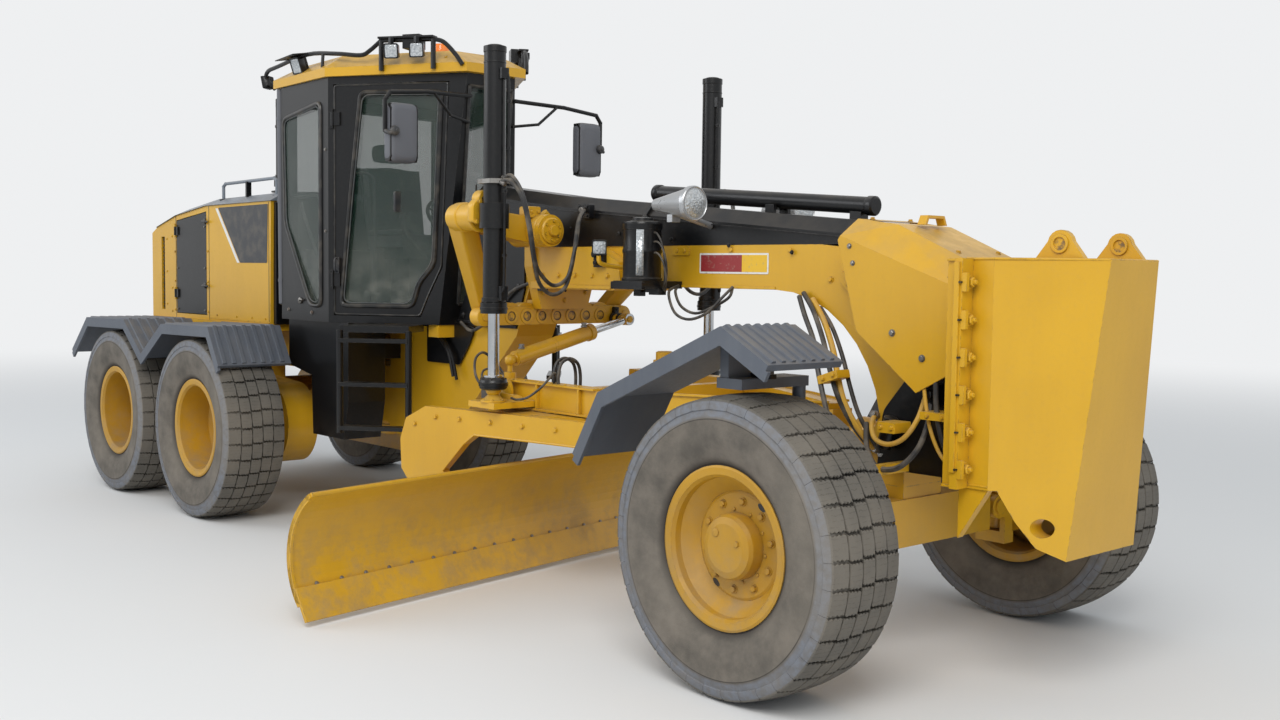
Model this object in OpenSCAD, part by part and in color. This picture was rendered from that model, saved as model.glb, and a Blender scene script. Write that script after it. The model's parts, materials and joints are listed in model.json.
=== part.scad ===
// Motor grader with an articulated frame, a high front lift linkage, a long moldboard and a front push block.
// X points forward, Y to the left and Z up. Inside the modules x is measured from the middle of the tandems.

/* [Chassis] */
// Distance from the middle of the tandems to the front axle
wheelbase = 6123; // [6000:10:6250]
// Distance between the two wheels of a tandem
tandem_pitch = 1523; // [1480:5:1560]
// Distance from the centre line to the middle of a tyre
half_track = 1100; // [1090:2:1130]
// Place of the articulation pin
hitch_x = 1350; // [1330:5:1370]
// Radius of the articulation pin
hitch_pin_r = 45; // [38:1:55]
// Half width of the main frame beam
beam_half = 150; // [130:5:170]

/* [Wheels] */
// Radius of a tyre over its tread
tyre_r = 655; // [645:1:665]
// Width of a tyre
tyre_w = 445; // [420:5:455]
// Radius of the rim flanges
rim_r = 356; // [345:1:366]
// Thickness of the rim barrel
rim_wall = 14; // [10:1:18]

/* [Hood] */
// Half width of the engine hood
hood_half = 620; // [600:5:630]
// Thickness of the hood panels
hood_wall = 20; // [12:1:26]

/* [Cab] */
// Thickness of the cab walls and doors
cab_wall = 45; // [35:1:55]
// Height of the cab floor's underside
cab_floor_z = 1450; // [1440:2:1470]
// Height of the cab walls' top
cab_top_z = 3130; // [3100:5:3150]

/* [Blade] */
// Place of the circle's centre
circle_x = 3960; // [3930:5:3990]
// Outer radius of the circle
circle_r = 776; // [760:2:790]
// Height of the circle ring
circle_h = 80; // [60:2:90]
// Number of teeth inside the circle
circle_teeth = 60; // [48:2:72]
// Length of the moldboard
blade_l = 4270; // [4000:10:4300]
// Height of the moldboard
blade_h = 610; // [580:5:620]
// Thickness of the moldboard plate
blade_t = 22; // [18:1:28]
// Angle of the blade from square across
blade_angle = 10; // [6:1:14]

/* [Lift] */
// Place of the lift cylinders along the machine
lift_x = 3880; // [3860:5:3900]
// Distance of a lift cylinder from the centre line
lift_y = 860; // [850:2:880]
// Outer radius of a lift cylinder
lift_r = 62; // [56:1:66]
// Radius of a lift rod
lift_rod_r = 33; // [28:1:38]

/* [Nose] */
// Place of the push block's front face at its top
nose_x = 7270; // [7240:5:7300]
// Radius of the lifting eyes
ear_bore_r = 27; // [22:1:32]
// Radius of the towing hole in a wing
tow_bore_r = 40; // [34:1:44]
// Place of the tow clevis's rear end
tail_x = -1790; // [-1810:5:-1770]
// Radius of the rear tow pin hole
tail_bore_r = 21; // [18:1:25]

/* [Hidden] */
$fn = 64;

// Gap between a piece and its seat, running gap of a pin, and gap between pieces that move past each other
seat_gap = 0.3;
pin_gap = 0.3;
swing_gap = 5;

yellow = "#d9a520";
black = "#26282b";
slate = "#5d6673";
steel = "#b9bcc0";

mid_x = (nose_x + tail_x) / 2;
rear_axle_x = tandem_pitch / 2;
wheel_z = tyre_r;

// Shape helpers. An outline is a list of [x, z] corners that runs counter-clockwise.
function turned(v) = [-v[1], v[0]];
function unit(v) = v / norm(v);
function inset(p, d) = [for (i = [0:len(p) - 1])
  let (a = p[(i + len(p) - 1) % len(p)], b = p[i], c = p[(i + 1) % len(p)])
  let (m = turned(unit(b - a)), n = turned(unit(c - b)))
  b + (m + n) * (d / (1 + m * n))];
function arc(cx, cz, r, from, to, steps = 8) = [for (i = [0:steps])
  let (a = from + (to - from) * i / steps) [cx + r * cos(a), cz + r * sin(a)]];

module side_plate(outline, y0, y1)
  translate([0, y1, 0]) rotate([90, 0, 0]) linear_extrude(height = y1 - y0) polygon(outline);
module plan_plate(outline, z0, z1)
  translate([0, 0, z0]) linear_extrude(height = z1 - z0) polygon(outline);
module front_plate(outline, x0, x1)
  translate([x0, 0, 0]) rotate([90, 0, 90]) linear_extrude(height = x1 - x0) polygon(outline);
module block(x0, x1, y0, y1, z0, z1)
  translate([x0, y0, z0]) cube([x1 - x0, y1 - y0, z1 - z0]);
module bar_x(y, z, r, x0, x1)
  translate([x0, y, z]) rotate([0, 90, 0]) cylinder(r = r, h = x1 - x0);
module bar_y(x, z, r, y0, y1)
  translate([x, y1, z]) rotate([90, 0, 0]) cylinder(r = r, h = y1 - y0);
module bar_z(x, y, r, z0, z1)
  translate([x, y, z0]) cylinder(r = r, h = z1 - z0);
module bar_between(a, b, r, fn = 24) {
  d = b - a;
  translate(a) rotate([0, acos(d[2] / norm(d)), atan2(d[1], d[0])]) cylinder(r = r, h = norm(d), $fn = fn);
}
module tube_path(points, r) {
  n = len(points) - 1;
  for (i = [0:n - 1]) {
    reach = unit(points[i + 1] - points[i]) * r * 0.5;
    bar_between(points[i] - (i > 0 ? reach : reach * 0), points[i + 1] + (i < n - 1 ? reach : reach * 0), r, 12);
  }
}
module both_sides() {
  children();
  mirror([0, 1, 0]) children();
}
module on_side(side) {
  if (side == "left") mirror([0, 1, 0]) children();
  else children();
}

// Wheels. A section point is [radius, distance outward from the tyre's middle].
rim_seat_r = rim_r - 38;
rim_in_r = rim_seat_r - rim_wall;
tyre_half = tyre_w / 2;
bead_half = tyre_half * 0.71;
flange_half = bead_half + 8;
disc_back = 45;
dish_back = -104;
groove_d = 16;

tyre_side = [[rim_seat_r + seat_gap, bead_half], [rim_r + 6, bead_half], [rim_r + 24, tyre_half * 0.84],
  [rim_r + 90, tyre_half * 0.97], [rim_r + 150, tyre_half], [tyre_r - 62, tyre_half * 0.98],
  [tyre_r - 50, tyre_half * 0.95], [tyre_r - 14, tyre_half * 0.9], [tyre_r - 3, tyre_half * 0.84],
  [tyre_r - 2, tyre_half * 0.5], [tyre_r - 2 - groove_d, tyre_half * 0.49],
  [tyre_r - 2 - groove_d, tyre_half * 0.43], [tyre_r - 1, tyre_half * 0.42], [tyre_r, tyre_half * 0.05]];
tyre_inside = [[tyre_r - 48, 0], [tyre_r - 52, tyre_half * 0.75], [rim_r + 150, tyre_half * 0.85],
  [rim_r + 60, tyre_half * 0.78], [rim_r, tyre_half * 0.55], [rim_seat_r + seat_gap, tyre_half * 0.5]];
function other_side(p) = [for (i = [len(p) - 1:-1:0]) [p[i][0], -p[i][1]]];

module wheel_axis(x, side)
  on_side(side) translate([x, -half_track, wheel_z]) rotate([90, 0, 0]) children();
module tyre(x, side) color(slate) wheel_axis(x, side) rotate_extrude($fn = 72)
  polygon(concat(tyre_side, other_side(tyre_side), other_side(tyre_inside),
    [for (i = [1:len(tyre_inside) - 1]) tyre_inside[i]]));

rim_lip = [[rim_in_r, flange_half - 8], [rim_seat_r - 2, flange_half + 8], [rim_r - 10, flange_half + 12],
  [rim_r, flange_half + 8], [rim_r, flange_half], [rim_r - 26, bead_half + 1], [rim_seat_r, bead_half + seat_gap]];
front_disc = [[0, disc_back], [0, disc_back + 112], [104, disc_back + 112], [132, disc_back + 102],
  [142, disc_back + 84], [145, disc_back + 26], [226, disc_back + 26], [238, disc_back + 20],
  [rim_in_r - 4, disc_back + 84]];
front_back = [[rim_in_r, disc_back + 60], [236, disc_back]];
rear_disc = [[0, dish_back], [0, dish_back + 70], [96, dish_back + 70], [118, dish_back + 58],
  [124, dish_back + 18], [262, dish_back + 18], [rim_in_r - 8, dish_back + 44]];
rear_back = [[rim_in_r, dish_back + 4], [262, dish_back]];
module rim(x, side, disc, back) color(yellow) wheel_axis(x, side) rotate_extrude($fn = 72)
  polygon(concat(disc, rim_lip, other_side(rim_lip), back));

// Rear frame: rails under the hood, deck, hitch head with its pin, bumper and tow clevis.
rail_z0 = 1060;
rail_z1 = 1340;
deck_z1 = 1385;
deck_half = 640;
hood_x0 = -1620;
hood_x1 = 640;
lug_r = 150;
hitch_half = 250;
lug_low = [600, 665];
lug_high = [1150, 1215];
module rear_frame() color(yellow) {
  both_sides() block(-1560, 900, -400, -330, rail_z0, rail_z1);
  block(-1700, -1560, -hood_half, hood_half, 900, rail_z1);
  difference() {
    block(hood_x0 + 20, hood_x1, -deck_half, deck_half, rail_z1, deck_z1);
    block(-1400, -60, -430, 430, rail_z1 - 1, deck_z1 + 1);
  }
  block(880, 900, -400, 400, rail_z0, rail_z1);
  block(899, hitch_x - 200, -hitch_half, hitch_half, rail_z0, rail_z1);
  block(900, hitch_x - 200, -200, 200, lug_low[0], rail_z0);
  for (z = [lug_low, lug_high]) {
    block(hitch_x - 200, hitch_x, -lug_r, lug_r, z[0], z[1]);
    bar_z(hitch_x, 0, lug_r, z[0], z[1]);
  }
  bar_z(hitch_x, 0, hitch_pin_r, lug_low[0] - 20, lug_high[1] + 20);
  difference() {
    block(tail_x, -1700, -90, 90, 950, 1090);
    block(tail_x - 1, -1715, -100, 100, 995, 1045);
    bar_z(tail_x + 45, 0, tail_bore_r, 940, 1100);
  }
}
module engine_block() color(black) {
  side_plate([[-1380, 1062], [-80, 1062], [-80, 1800], [-260, 1990], [-1380, 1960]],
    -330 + seat_gap, 330 - seat_gap);
}

// Rear axle housing and the two tandem cases with their wheel hubs.
case_half = [450, 690];
module tandem_case() {
  translate([0, -case_half[0], wheel_z]) rotate([90, 0, 0]) linear_extrude(height = case_half[1] - case_half[0]) {
    for (s = [-1, 1]) translate([s * rear_axle_x, 0]) circle(r = 300);
    polygon([[-rear_axle_x, -300], [rear_axle_x, -300], [rear_axle_x, 300], [200, 340], [-200, 340],
      [-rear_axle_x, 300]]);
  }
  for (s = [-1, 1]) {
    bar_y(s * rear_axle_x, wheel_z, 200, -case_half[1] - 60, -case_half[1]);
    bar_y(s * rear_axle_x, wheel_z, 130, -half_track - dish_back + seat_gap, -case_half[1]);
  }
}
module rear_axle() color(yellow) {
  both_sides() tandem_case();
  bar_y(0, 700, 235, -case_half[0], case_half[0]);
  rotate([90, 0, 90]) translate([0, 700, -250]) cylinder(r = 180, h = 560);
  both_sides() block(-250, 250, -420, -300, 860, rail_z0 - seat_gap);
}

// Rear fenders: one folded sheet over each tandem, outline of the outer edge.
fender_y = [half_track + 230, half_track - 320];
fender_t = 30;
rear_fender_line = [[-1606, 1107], [-1250, 1392], [-440, 1402], [-95, 1150], [300, 1395], [1113, 1405],
  [1287, 1139]];
module folded_sheet(line, t, y0, y1) {
  n = len(line) - 1;
  under = [for (i = [n:-1:0]) let (a = line[max(i - 1, 0)], c = line[min(i + 1, n)])
    let (u = i == 0 ? unit(c - line[i]) : unit(line[i] - a), v = i == n ? u : unit(c - line[i]))
    let (m = [u[1], -u[0]], w = [v[1], -v[0]]) line[i] + (m + w) * (t / (1 + m * w))];
  side_plate(concat(line, under), y0, y1);
}
module rear_fenders() color(slate) both_sides() {
  folded_sheet(rear_fender_line, fender_t, -fender_y[0], -fender_y[1]);
  folded_sheet([for (p = rear_fender_line) [p[0], p[1] - fender_t]], 45, -fender_y[0], -fender_y[0] + 18);
  for (x = [-1000, 480]) block(x, x + 120, -fender_y[1] - 40, -deck_half - seat_gap, 1340, 1372);
}

// Hood: a shell open below, with a door opening in each side and a grille opening at the rear.
hood_z0 = deck_z1 + seat_gap;
hood_line = [[hood_x0, hood_z0], [hood_x1, hood_z0], [hood_x1 + 20, 2328], [-495, 2321], [-1100, 2255],
  [-1500, 2165], [hood_x0, 2115]];
door_x = [-1100, -495];
door_z = [1425, 2215];
door_gap = 6;
panel_hinge_z = [1560, 2090];
module hood() color(yellow) difference() {
  side_plate(hood_line, -hood_half, hood_half);
  side_plate([[hood_x0 + hood_wall, hood_z0 - 9], [hood_x1 - hood_wall, hood_z0 - 9],
    [hood_x1, 2400], [hood_x0 + hood_wall, 2400]], -hood_half + hood_wall, hood_half - hood_wall);
  both_sides() side_plate([[door_x[0], door_z[0]], [door_x[1], door_z[0]], [door_x[1], door_z[1] + 62],
    [door_x[0], door_z[1]]], -hood_half - 1, -hood_half + hood_wall + 1);
  both_sides() block(-1420, -1350, -hood_half - 1, -hood_half + hood_wall + 1, 1450, 2080);
  block(hood_x0 - 1, hood_x0 + hood_wall + 1, -430, 430, 1480, 2020);
}
module hood_with_hinges() {
  hood();
  color(yellow) both_sides() for (z = panel_hinge_z) {
    bar_z(door_x[0], -hood_half - 12, 4, z - 15, z + 85);
    for (h = [z - 16, z + 71]) block(door_x[0] - 22, door_x[0] + 4, -hood_half - 16, -hood_half + 2, h, h + 15);
  }
}
module engine_door(side) color(black) on_side(side) {
  side_plate([[door_x[0] + door_gap, door_z[0] + door_gap], [door_x[1] - door_gap, door_z[0] + door_gap],
    [door_x[1] - door_gap, door_z[1] + 62 - door_gap], [door_x[0] + door_gap, door_z[1] - door_gap]],
    -hood_half, -hood_half + hood_wall);
  for (z = panel_hinge_z) difference() {
    union() {
      bar_z(door_x[0], -hood_half - 12, 9, z, z + 70);
      block(door_x[0], door_x[0] + 50, -hood_half - 12, -hood_half, z, z + 70);
      block(door_x[0] + 7, door_x[0] + 50, -hood_half - 12, -hood_half + 8, z, z + 70);
    }
    bar_z(door_x[0], -hood_half - 12, 4 + pin_gap, z - 1, z + 71);
    block(door_x[0] - 20, door_x[0] + 6, -hood_half - 3, -hood_half + 20, z - 1, z + 71);
  }
}
// Top cover sections: [x, height of its edge, height of its crown, half width].
hood_sections = [[-1650, 2105, 2150, 560], [-1500, 2166, 2225, 632], [-1100, 2256, 2325, 634],
  [-495, 2322, 2395, 634], [670, 2329, 2410, 634]];
module hood_slab(s) front_plate([[-s[3], s[1] + seat_gap], [s[3], s[1] + seat_gap], [s[3] * 0.8, s[2] - 12],
  [s[3] * 0.45, s[2]], [-s[3] * 0.45, s[2]], [-s[3] * 0.8, s[2] - 12]], s[0], s[0] + 1);
module hood_top() {
  color(slate) for (i = [1:len(hood_sections) - 2]) hull() {
    hood_slab(hood_sections[i]);
    hood_slab(hood_sections[i + 1]);
  }
  color(slate) hull() {
    hood_slab(hood_sections[0]);
    hood_slab(hood_sections[1]);
  }
  color(black) both_sides() tube_path([[-380, -520, 2370], [-380, -520, 2480], [-340, -520, 2500],
    [520, -520, 2510], [560, -520, 2490], [560, -520, 2375]], 13);
}
module exhaust_stack() color(steel) {
  bar_z(480, -420, 60, 2404.6, 3120);
  bar_z(480, -420, 75, 2450, 2500);
}

// Front frame: hitch barrel, belly box, main beam, gooseneck, axle bolster and draft socket, in side view.
draft = [wheelbase - 263, 0, 1020];
draft_r = 62;
goose_low = arc(wheelbase - 743, 1042, 700, 90, 9);
goose_high = arc(wheelbase - 443, 1330, 645, 0, 90);
beam_z = [1742, 1975];
front_line = concat([[1560, 700], [1700, 620], [2300, 640], [2630, 900], [3140, 1400], [3290, beam_z[0]]],
  goose_low, [[wheelbase - 123, 1000], [wheelbase - 123, 820], [wheelbase + 100, 820], [wheelbase + 100, 1000]],
  goose_high,
  [[2680, beam_z[1]], [2680, cab_floor_z - 25], [1600, cab_floor_z - 25], [1600, 1110], [1560, 1110]]);
module front_frame() color(yellow) {
  difference() {
    union() {
      side_plate(front_line, -beam_half, beam_half);
      bar_z(hitch_x, 0, 140, lug_low[1] + swing_gap, lug_high[0] - swing_gap);
      block(hitch_x, 1600, -130, 130, 700, 1110);
      block(wheelbase + 177, nose_x - 580, -beam_half, beam_half, 1010, 1280);
      block(nose_x - 610, nose_x - 570, -300, 300, 960, 1820);
      for (s = [[1620, 399], [2340, 300]])
        block(s[0], s[0] + 120, -s[1], s[1], cab_floor_z - 85, cab_floor_z - seat_gap);
      block(draft[0] + 70, draft[0] + 150, -60, 60, draft[2] - 60, draft[2] + 60);
      intersection() {
        translate(draft) sphere(r = draft_r + 34);
        block(draft[0] - 12, draft[0] + 200, -200, 200, draft[2] - 200, draft[2] + 200);
      }
    }
    bar_z(hitch_x, 0, hitch_pin_r + pin_gap, lug_low[0], lug_high[1]);
    translate(draft) sphere(r = draft_r + pin_gap);
  }
}

// Black cover over the beam, as sections [x, top height, half width], and the panels before the cab.
cover_sections = [[2700, 2395, 150], [3620, 2285, 150], [5850, 2095, 120]];
module cover_slab(s) front_plate([[-s[2] - 15, beam_z[1] + seat_gap], [s[2] + 15, beam_z[1] + seat_gap],
  [s[2] + 15, s[1] - 70], [s[2] - 50, s[1]], [-s[2] + 50, s[1]], [-s[2] - 15, s[1] - 70]], s[0], s[0] + 1);
module frame_cover() color(black) {
  for (i = [0:1]) hull() {
    cover_slab(cover_sections[i]);
    cover_slab(cover_sections[i + 1]);
  }
  both_sides() side_plate([[2480, cab_floor_z], [3150, cab_floor_z], [3240, 1700], [3240, 2200], [2700, 2300],
    [2700, 1900]], -beam_half - 16, -beam_half - seat_gap);
  bar_between([4300, 0, 2285], [5900, 0, 2165], 44, 48);
  block(4340, 4410, -30, 30, 2180, 2282);
  block(5760, 5830, -30, 30, 2060, 2173);
}

// Folded yellow cover round the gooseneck, open below.
nose_half = 330;
nose_side = [[6060, 1560], [6410, 1293], [6610, 1400], [6610, 1775], [5950, 2010], [5935, 1990]];
nose_top = [[5935, 1990], [6610, 1775], [6600, 1890], [6200, 2062], [5960, 2095]];
module nose_form(d) hull() {
  side_plate(inset(nose_side, d), -nose_half + d, nose_half - d);
  side_plate(inset(nose_top, d), -210 + d * 0.6, 210 - d * 0.6);
}
module nose_cover() color(yellow) difference() {
  nose_form(0);
  nose_form(12);
  block(5900, 6700, -nose_half + 12, nose_half - 12, 1200, 1700);
  block(5900, 6110, -200, 200, 1500, beam_z[1] + 110);
  block(6550, 6700, -310, 310, 1200, 1830);
}
module covered_nose() {
  nose_cover();
  nose_tabs();
}
module nose_tabs() color(yellow) both_sides()
  block(6236, 6268, -nose_half + 4, -beam_half - seat_gap, 1470, 1512);

// Push block: a nose plate and two wings in plan, cut to a side view, with ribs, flanges and lifting ears.
wing_root = [6900, 480];
block_plan = [[wing_root[0], -wing_root[1]], [nose_x, -200], [nose_x, 200], [wing_root[0], wing_root[1]],
  [6760, wing_root[1]], [6760, -wing_root[1]]];
block_side = [[6700, 925], [6930, 925], [6990, 800], [7060, 690], [7160, 640], [nose_x, 1900], [6700, 1900]];
module push_block() color(yellow) {
  difference() {
    intersection() {
      plan_plate(block_plan, 600, 1900);
      side_plate(block_side, -600, 600);
    }
    intersection() {
      plan_plate([[wing_root[0] - 20, -wing_root[1] + 60], [nose_x - 90, -165], [nose_x - 90, 165],
        [wing_root[0] - 20, wing_root[1] - 60], [6690, wing_root[1] - 60], [6690, -wing_root[1] + 60]], 590, 1860);
      side_plate([[6690, 590], [7090, 590], [nose_x - 95, 1860], [6690, 1860]], -600, 600);
    }
    translate([7080, 0, 775]) rotate([90, 0, 0]) cylinder(r = tow_bore_r, h = 1200, center = true);
  }
  block(6700 + seat_gap, 6762, -520, 520, 925, 1900);
  both_sides() block(6762, 6800, -560, -wing_root[1] + 1, 925, 1900);
  both_sides() side_plate([[6750, 700], [6900, 930], [6750, 930]], -470, -430);
  both_sides() difference() {
    side_plate(concat([[6950, 1895]], [[7190, 1895]], arc(7070, 1965, 58, 10, 170)), -262, -232);
    bar_y(7070, 1965, ear_bore_r, -300, -200);
  }
}

// Lift saddle: casting under the beam, perforated link bar, the two bell-crank arms and their hubs.
link_x = [3290, 3370];
link_z = 1540;
link_up = 62;
link_down = 54;
link_half = 620;
hub_z = 2130;
hub_x = 3500;
module lift_arm() {
  hull() {
    bar_x(-lift_y, hub_z, 70, hub_x, hub_x + 100, $fn = 24);
    bar_x(-470, link_z, 52, link_x[0] - 95, link_x[0] - 15, $fn = 24);
  }
  hull() {
    bar_x(-lift_y, hub_z, 66, hub_x + 10, hub_x + 100, $fn = 24);
    bar_x(-350, 2065, 80, hub_x - 40, hub_x + 120, $fn = 24);
  }
  bar_x(-lift_y, hub_z, 78, hub_x, lift_x - lift_r - 58);
  bar_x(-350, 2065, 96, 3420, 3750);
  bar_x(-350, 2065, 66, 3750, 3768);
  bar_x(-350, 2065, 34, 3768, 3784);
  bar_x(-470, link_z, 34, link_x[0] - 100, link_x[0] + 5);
}
module lift_saddle() color(yellow) {
  difference() {
    union() {
      side_plate([[3400, 1715], [4190, 1715], [4250, 1765], [4235, 1880], [4030, 1970], [3400, 1970]], -235, 235);
      front_plate([[-185, 1585], [185, 1585], [262, 1850], [262, 1970], [-262, 1970], [-262, 1850]], 3370, 3450);
    }
    block(3300, 4300, -beam_half - seat_gap, beam_half + seat_gap, beam_z[0] - seat_gap, 2100);
  }
  both_sides() lift_arm();
  difference() {
    union() {
      block(link_x[0], link_x[1], -link_half + 60, link_half - 60, link_z - link_down, link_z + link_up);
      both_sides() bar_x(-560, link_z, 58, link_x[0], link_x[1]);
    }
    for (i = [-3:3]) bar_x(i * 120, link_z, 29, link_x[0] - 1, link_x[1] + 1);
  }
  block(link_x[0] + 10, 3440, -185, 185, link_z + link_up - 8, 1640);
  bar_x(shift_b[1], shift_b[2], 30, link_x[0] + 20, shift_b[0] - 52);
}

// Cab: plan outline of the right half mirrored, front face leaning forward, doors set at door_angle.
cab_b = [1760, -740];
cab_a = [2600, -220];
cab_rear = [1000, -705];
door_dir = unit(cab_a - cab_b);
door_angle = atan2(door_dir[1], door_dir[0]);
function flipped(p) = [for (i = [len(p) - 1:-1:0]) [p[i][0], -p[i][1]]];
cab_half_plan = [cab_rear, cab_b, cab_a + door_dir * 60];
cab_plan = concat(cab_half_plan, flipped(cab_half_plan));
cab_side = [[cab_rear[0], cab_floor_z], [2470, cab_floor_z], [2640, cab_top_z], [cab_rear[0] - 60, cab_top_z]];
hinge_u = 40;
hinge_z = [1700, 2800];
// Door outline in [distance from the B post, height], and its window.
door_line = [[40, 1500], [700, 1500], [760, 1640], [860, 1840], [905, cab_top_z - 50], [40, cab_top_z - 50]];
door_pane = [[100, 1570], [640, 1570], [690, 1730], [800, 1860], [850, 3010], [250, 3020], [170, 2300]];
side_pane = [[1480, 1560], [1650, 1560], [1650, 2970], [1050, 2900], [1080, 2140]];
module door_frame(side) on_side(side) translate([cab_b[0], cab_b[1], 0]) rotate([0, 0, door_angle]) children();
module cab_prism(d) intersection() {
  plan_plate(inset(cab_plan, d), cab_floor_z + (d > 0 ? 60 : 0), cab_top_z);
  side_plate([cab_side[0] + [-200, d], cab_side[1] + [-d, d], cab_side[2] + [-d, 1], cab_side[3] + [-200, 1]],
    -900, 900);
}
module cab_shell() color(black) {
  cab_walls();
  for (side = ["right", "left"]) door_frame(side) hinge_pins();
}
module cab_walls() difference() {
  cab_prism(0);
  cab_prism(cab_wall);
  for (side = ["right", "left"]) {
    door_frame(side) side_plate(door_line, -20, cab_wall + 20);
    on_side(side) side_plate(side_pane, -800, -660);
  }
  front_plate([[-150, 1600], [150, 1600], [170, 3040], [-170, 3040]], 2380, 2700);
  front_plate([[-600, 1700], [600, 1700], [600, 3000], [-600, 3000]], 900, 1000 + cab_wall + 9);
  block(2660, 2800, -400, 400, 1400, 3200);
}
module door_panel(side) color(black) door_frame(side) {
  difference() {
    side_plate(inset(door_line, swing_gap + 2), 0, cab_wall);
    side_plate(door_pane, -10, cab_wall + 10);
  }
  for (z = hinge_z) difference() {
    union() {
      bar_z(hinge_u, -14, 11, z, z + 90);
      block(hinge_u, 95, -14, 0, z, z + 90);
      block(hinge_u + 7, 95, -14, 8, z, z + 90);
    }
    bar_z(hinge_u, -14, 5 + pin_gap, z - 1, z + 91);
    block(hinge_u - 20, hinge_u + 6, -3, 20, z - 1, z + 91);
  }
}
module hinge_pins() for (z = hinge_z) {
  bar_z(hinge_u, -14, 5, z - 20, z + 110);
  for (h = [z - 21, z + 91]) block(hinge_u - 25, hinge_u + 5, -19, 2, h, h + 20);
}
module door_glass(side) color("lightblue", 0.4) door_frame(side)
  side_plate(inset(door_pane, seat_gap), cab_wall / 2 - 3, cab_wall / 2 + 3);
module cab_glass() color("lightblue", 0.4) {
  both_sides() side_plate(inset(side_pane, seat_gap), -712, -706);
  intersection() {
    front_plate(inset([[-150, 1600], [150, 1600], [170, 3040], [-170, 3040]], seat_gap), 2300, 2700);
    side_plate([cab_side[1] + [-26, 0], cab_side[1] + [-20, 0], cab_side[2] + [-20, 0], cab_side[2] + [-26, 0]],
      -300, 300);
  }
  front_plate(inset([[-600, 1700], [600, 1700], [600, 3000], [-600, 3000]], seat_gap), 1015, 1021);
}
roof_z = cab_top_z + seat_gap;
module cab_roof() color(yellow) hull() {
  plan_plate([[900, -715], [1760, -765], [2700, -240], [2700, 240], [1760, 765], [900, 715]], roof_z, roof_z + 60);
  plan_plate([[1050, -560], [1740, -610], [2480, -200], [2480, 200], [1740, 610], [1050, 560]], roof_z + 120,
    roof_z + 160);
}
module seat() color(black) {
  block(1480, 1900, -230, 230, 1900, 2010);
  side_plate([[1400, 1980], [1480, 1980], [1480, 2010], [1400, 2560], [1320, 2560]], -220, 220);
  block(1560, 1800, -120, 120, cab_floor_z + 60 + seat_gap, 1900);
}
module console() color(black) {
  both_sides() block(1620, 2050, -330, -260, 1980, 2060);
  both_sides() block(1620, 1700, -330, -260, cab_floor_z + 60 + seat_gap, 1980);
  both_sides() bar_z(2010, -295, 16, 2060, 2190);
  both_sides() translate([2010, -295, 2190]) sphere(r = 28);
  block(2200, 2330, -120, 120, cab_floor_z + 60 + seat_gap, 1900);
}

module cab_interior() {
  seat();
  console();
}

// Ladders below the doors and the tanks beside the belly box.
ladder_mid = [2400, -760];
ladder_half = 235;
module ladder() translate([ladder_mid[0], ladder_mid[1], 0]) rotate([0, 0, 40]) {
  for (s = [-1, 1]) bar_z(s * ladder_half, 0, 22, 740, 1420);
  for (z = [760, 1050, 1340]) block(-ladder_half, ladder_half, -35, 60, z, z + 26);
  block(-ladder_half, ladder_half, 0, 330, 1405, cab_floor_z - seat_gap);
}
tank_top = cab_floor_z - seat_gap;
tank_line = [[1440, 640], [1880, 640], [1940, 900], [1940, tank_top], [1080, tank_top], [1080, 1120], [1420, 1060]];
module steps_and_tanks() color(black) both_sides() {
  ladder();
  side_plate(tank_line, -690, -400);
  block(1620, 1740, -400, -beam_half - seat_gap, 1180, 1300);
}
module grease_tank() color(black) {
  bar_z(4560, -345, 105, 1776, 2090);
  bar_z(4560, -345, 112, 2060, 2090);
  block(4440, 4680, -450, -beam_half - seat_gap, 1735, 1776);
}
module all_steps_and_tanks() {
  steps_and_tanks();
  grease_tank();
}

// Mirror arms with their heads, roof rail with its plate.
module cab_rails() color(black) both_sides() {
  tube_path([[2626, -186, 2975], [2660, -186, 2975], [2720, -560, 2960], [2735, -840, 2930], [2735, -880, 2880], [2735, -880, 2690],
    [2735, -840, 2670]], 14);
  tube_path([[2609, -186, 2805], [2645, -186, 2805], [2690, -360, 2830], [2715, -500, 2955]], 10);
  side_plate([[2705, 2500], [2755, 2500], [2770, 2530], [2770, 2830], [2755, 2860], [2705, 2860]], -860, -660);
  tube_path([[2160, -561.4, 3150], [2160, -561.4, 3352], [2500, -371.5, 3345], [2500, -371.5, 3150]], 17);
  translate([2360, -449.7, 3335]) rotate([0, 0, atan2(189.9, 340)]) block(-62, 62, -14, 76, -46, 46);
}
module lamps() {
  color(steel) both_sides() {
    translate([4760, -430, 2185]) rotate([0, 90, 0]) cylinder(r1 = 32, r2 = 84, h = 270);
    bar_x(-430, 2185, 88, 5030, 5060);
    bar_between([4900, -420, 2140], [4900, -152.5, 2080], 18);
  }
  color("orange") {
    bar_z(1500, 250, 60, 3304, 3414);
    bar_z(1500, 250, 30, roof_z + 160 + seat_gap, 3310);
  }
}

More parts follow.
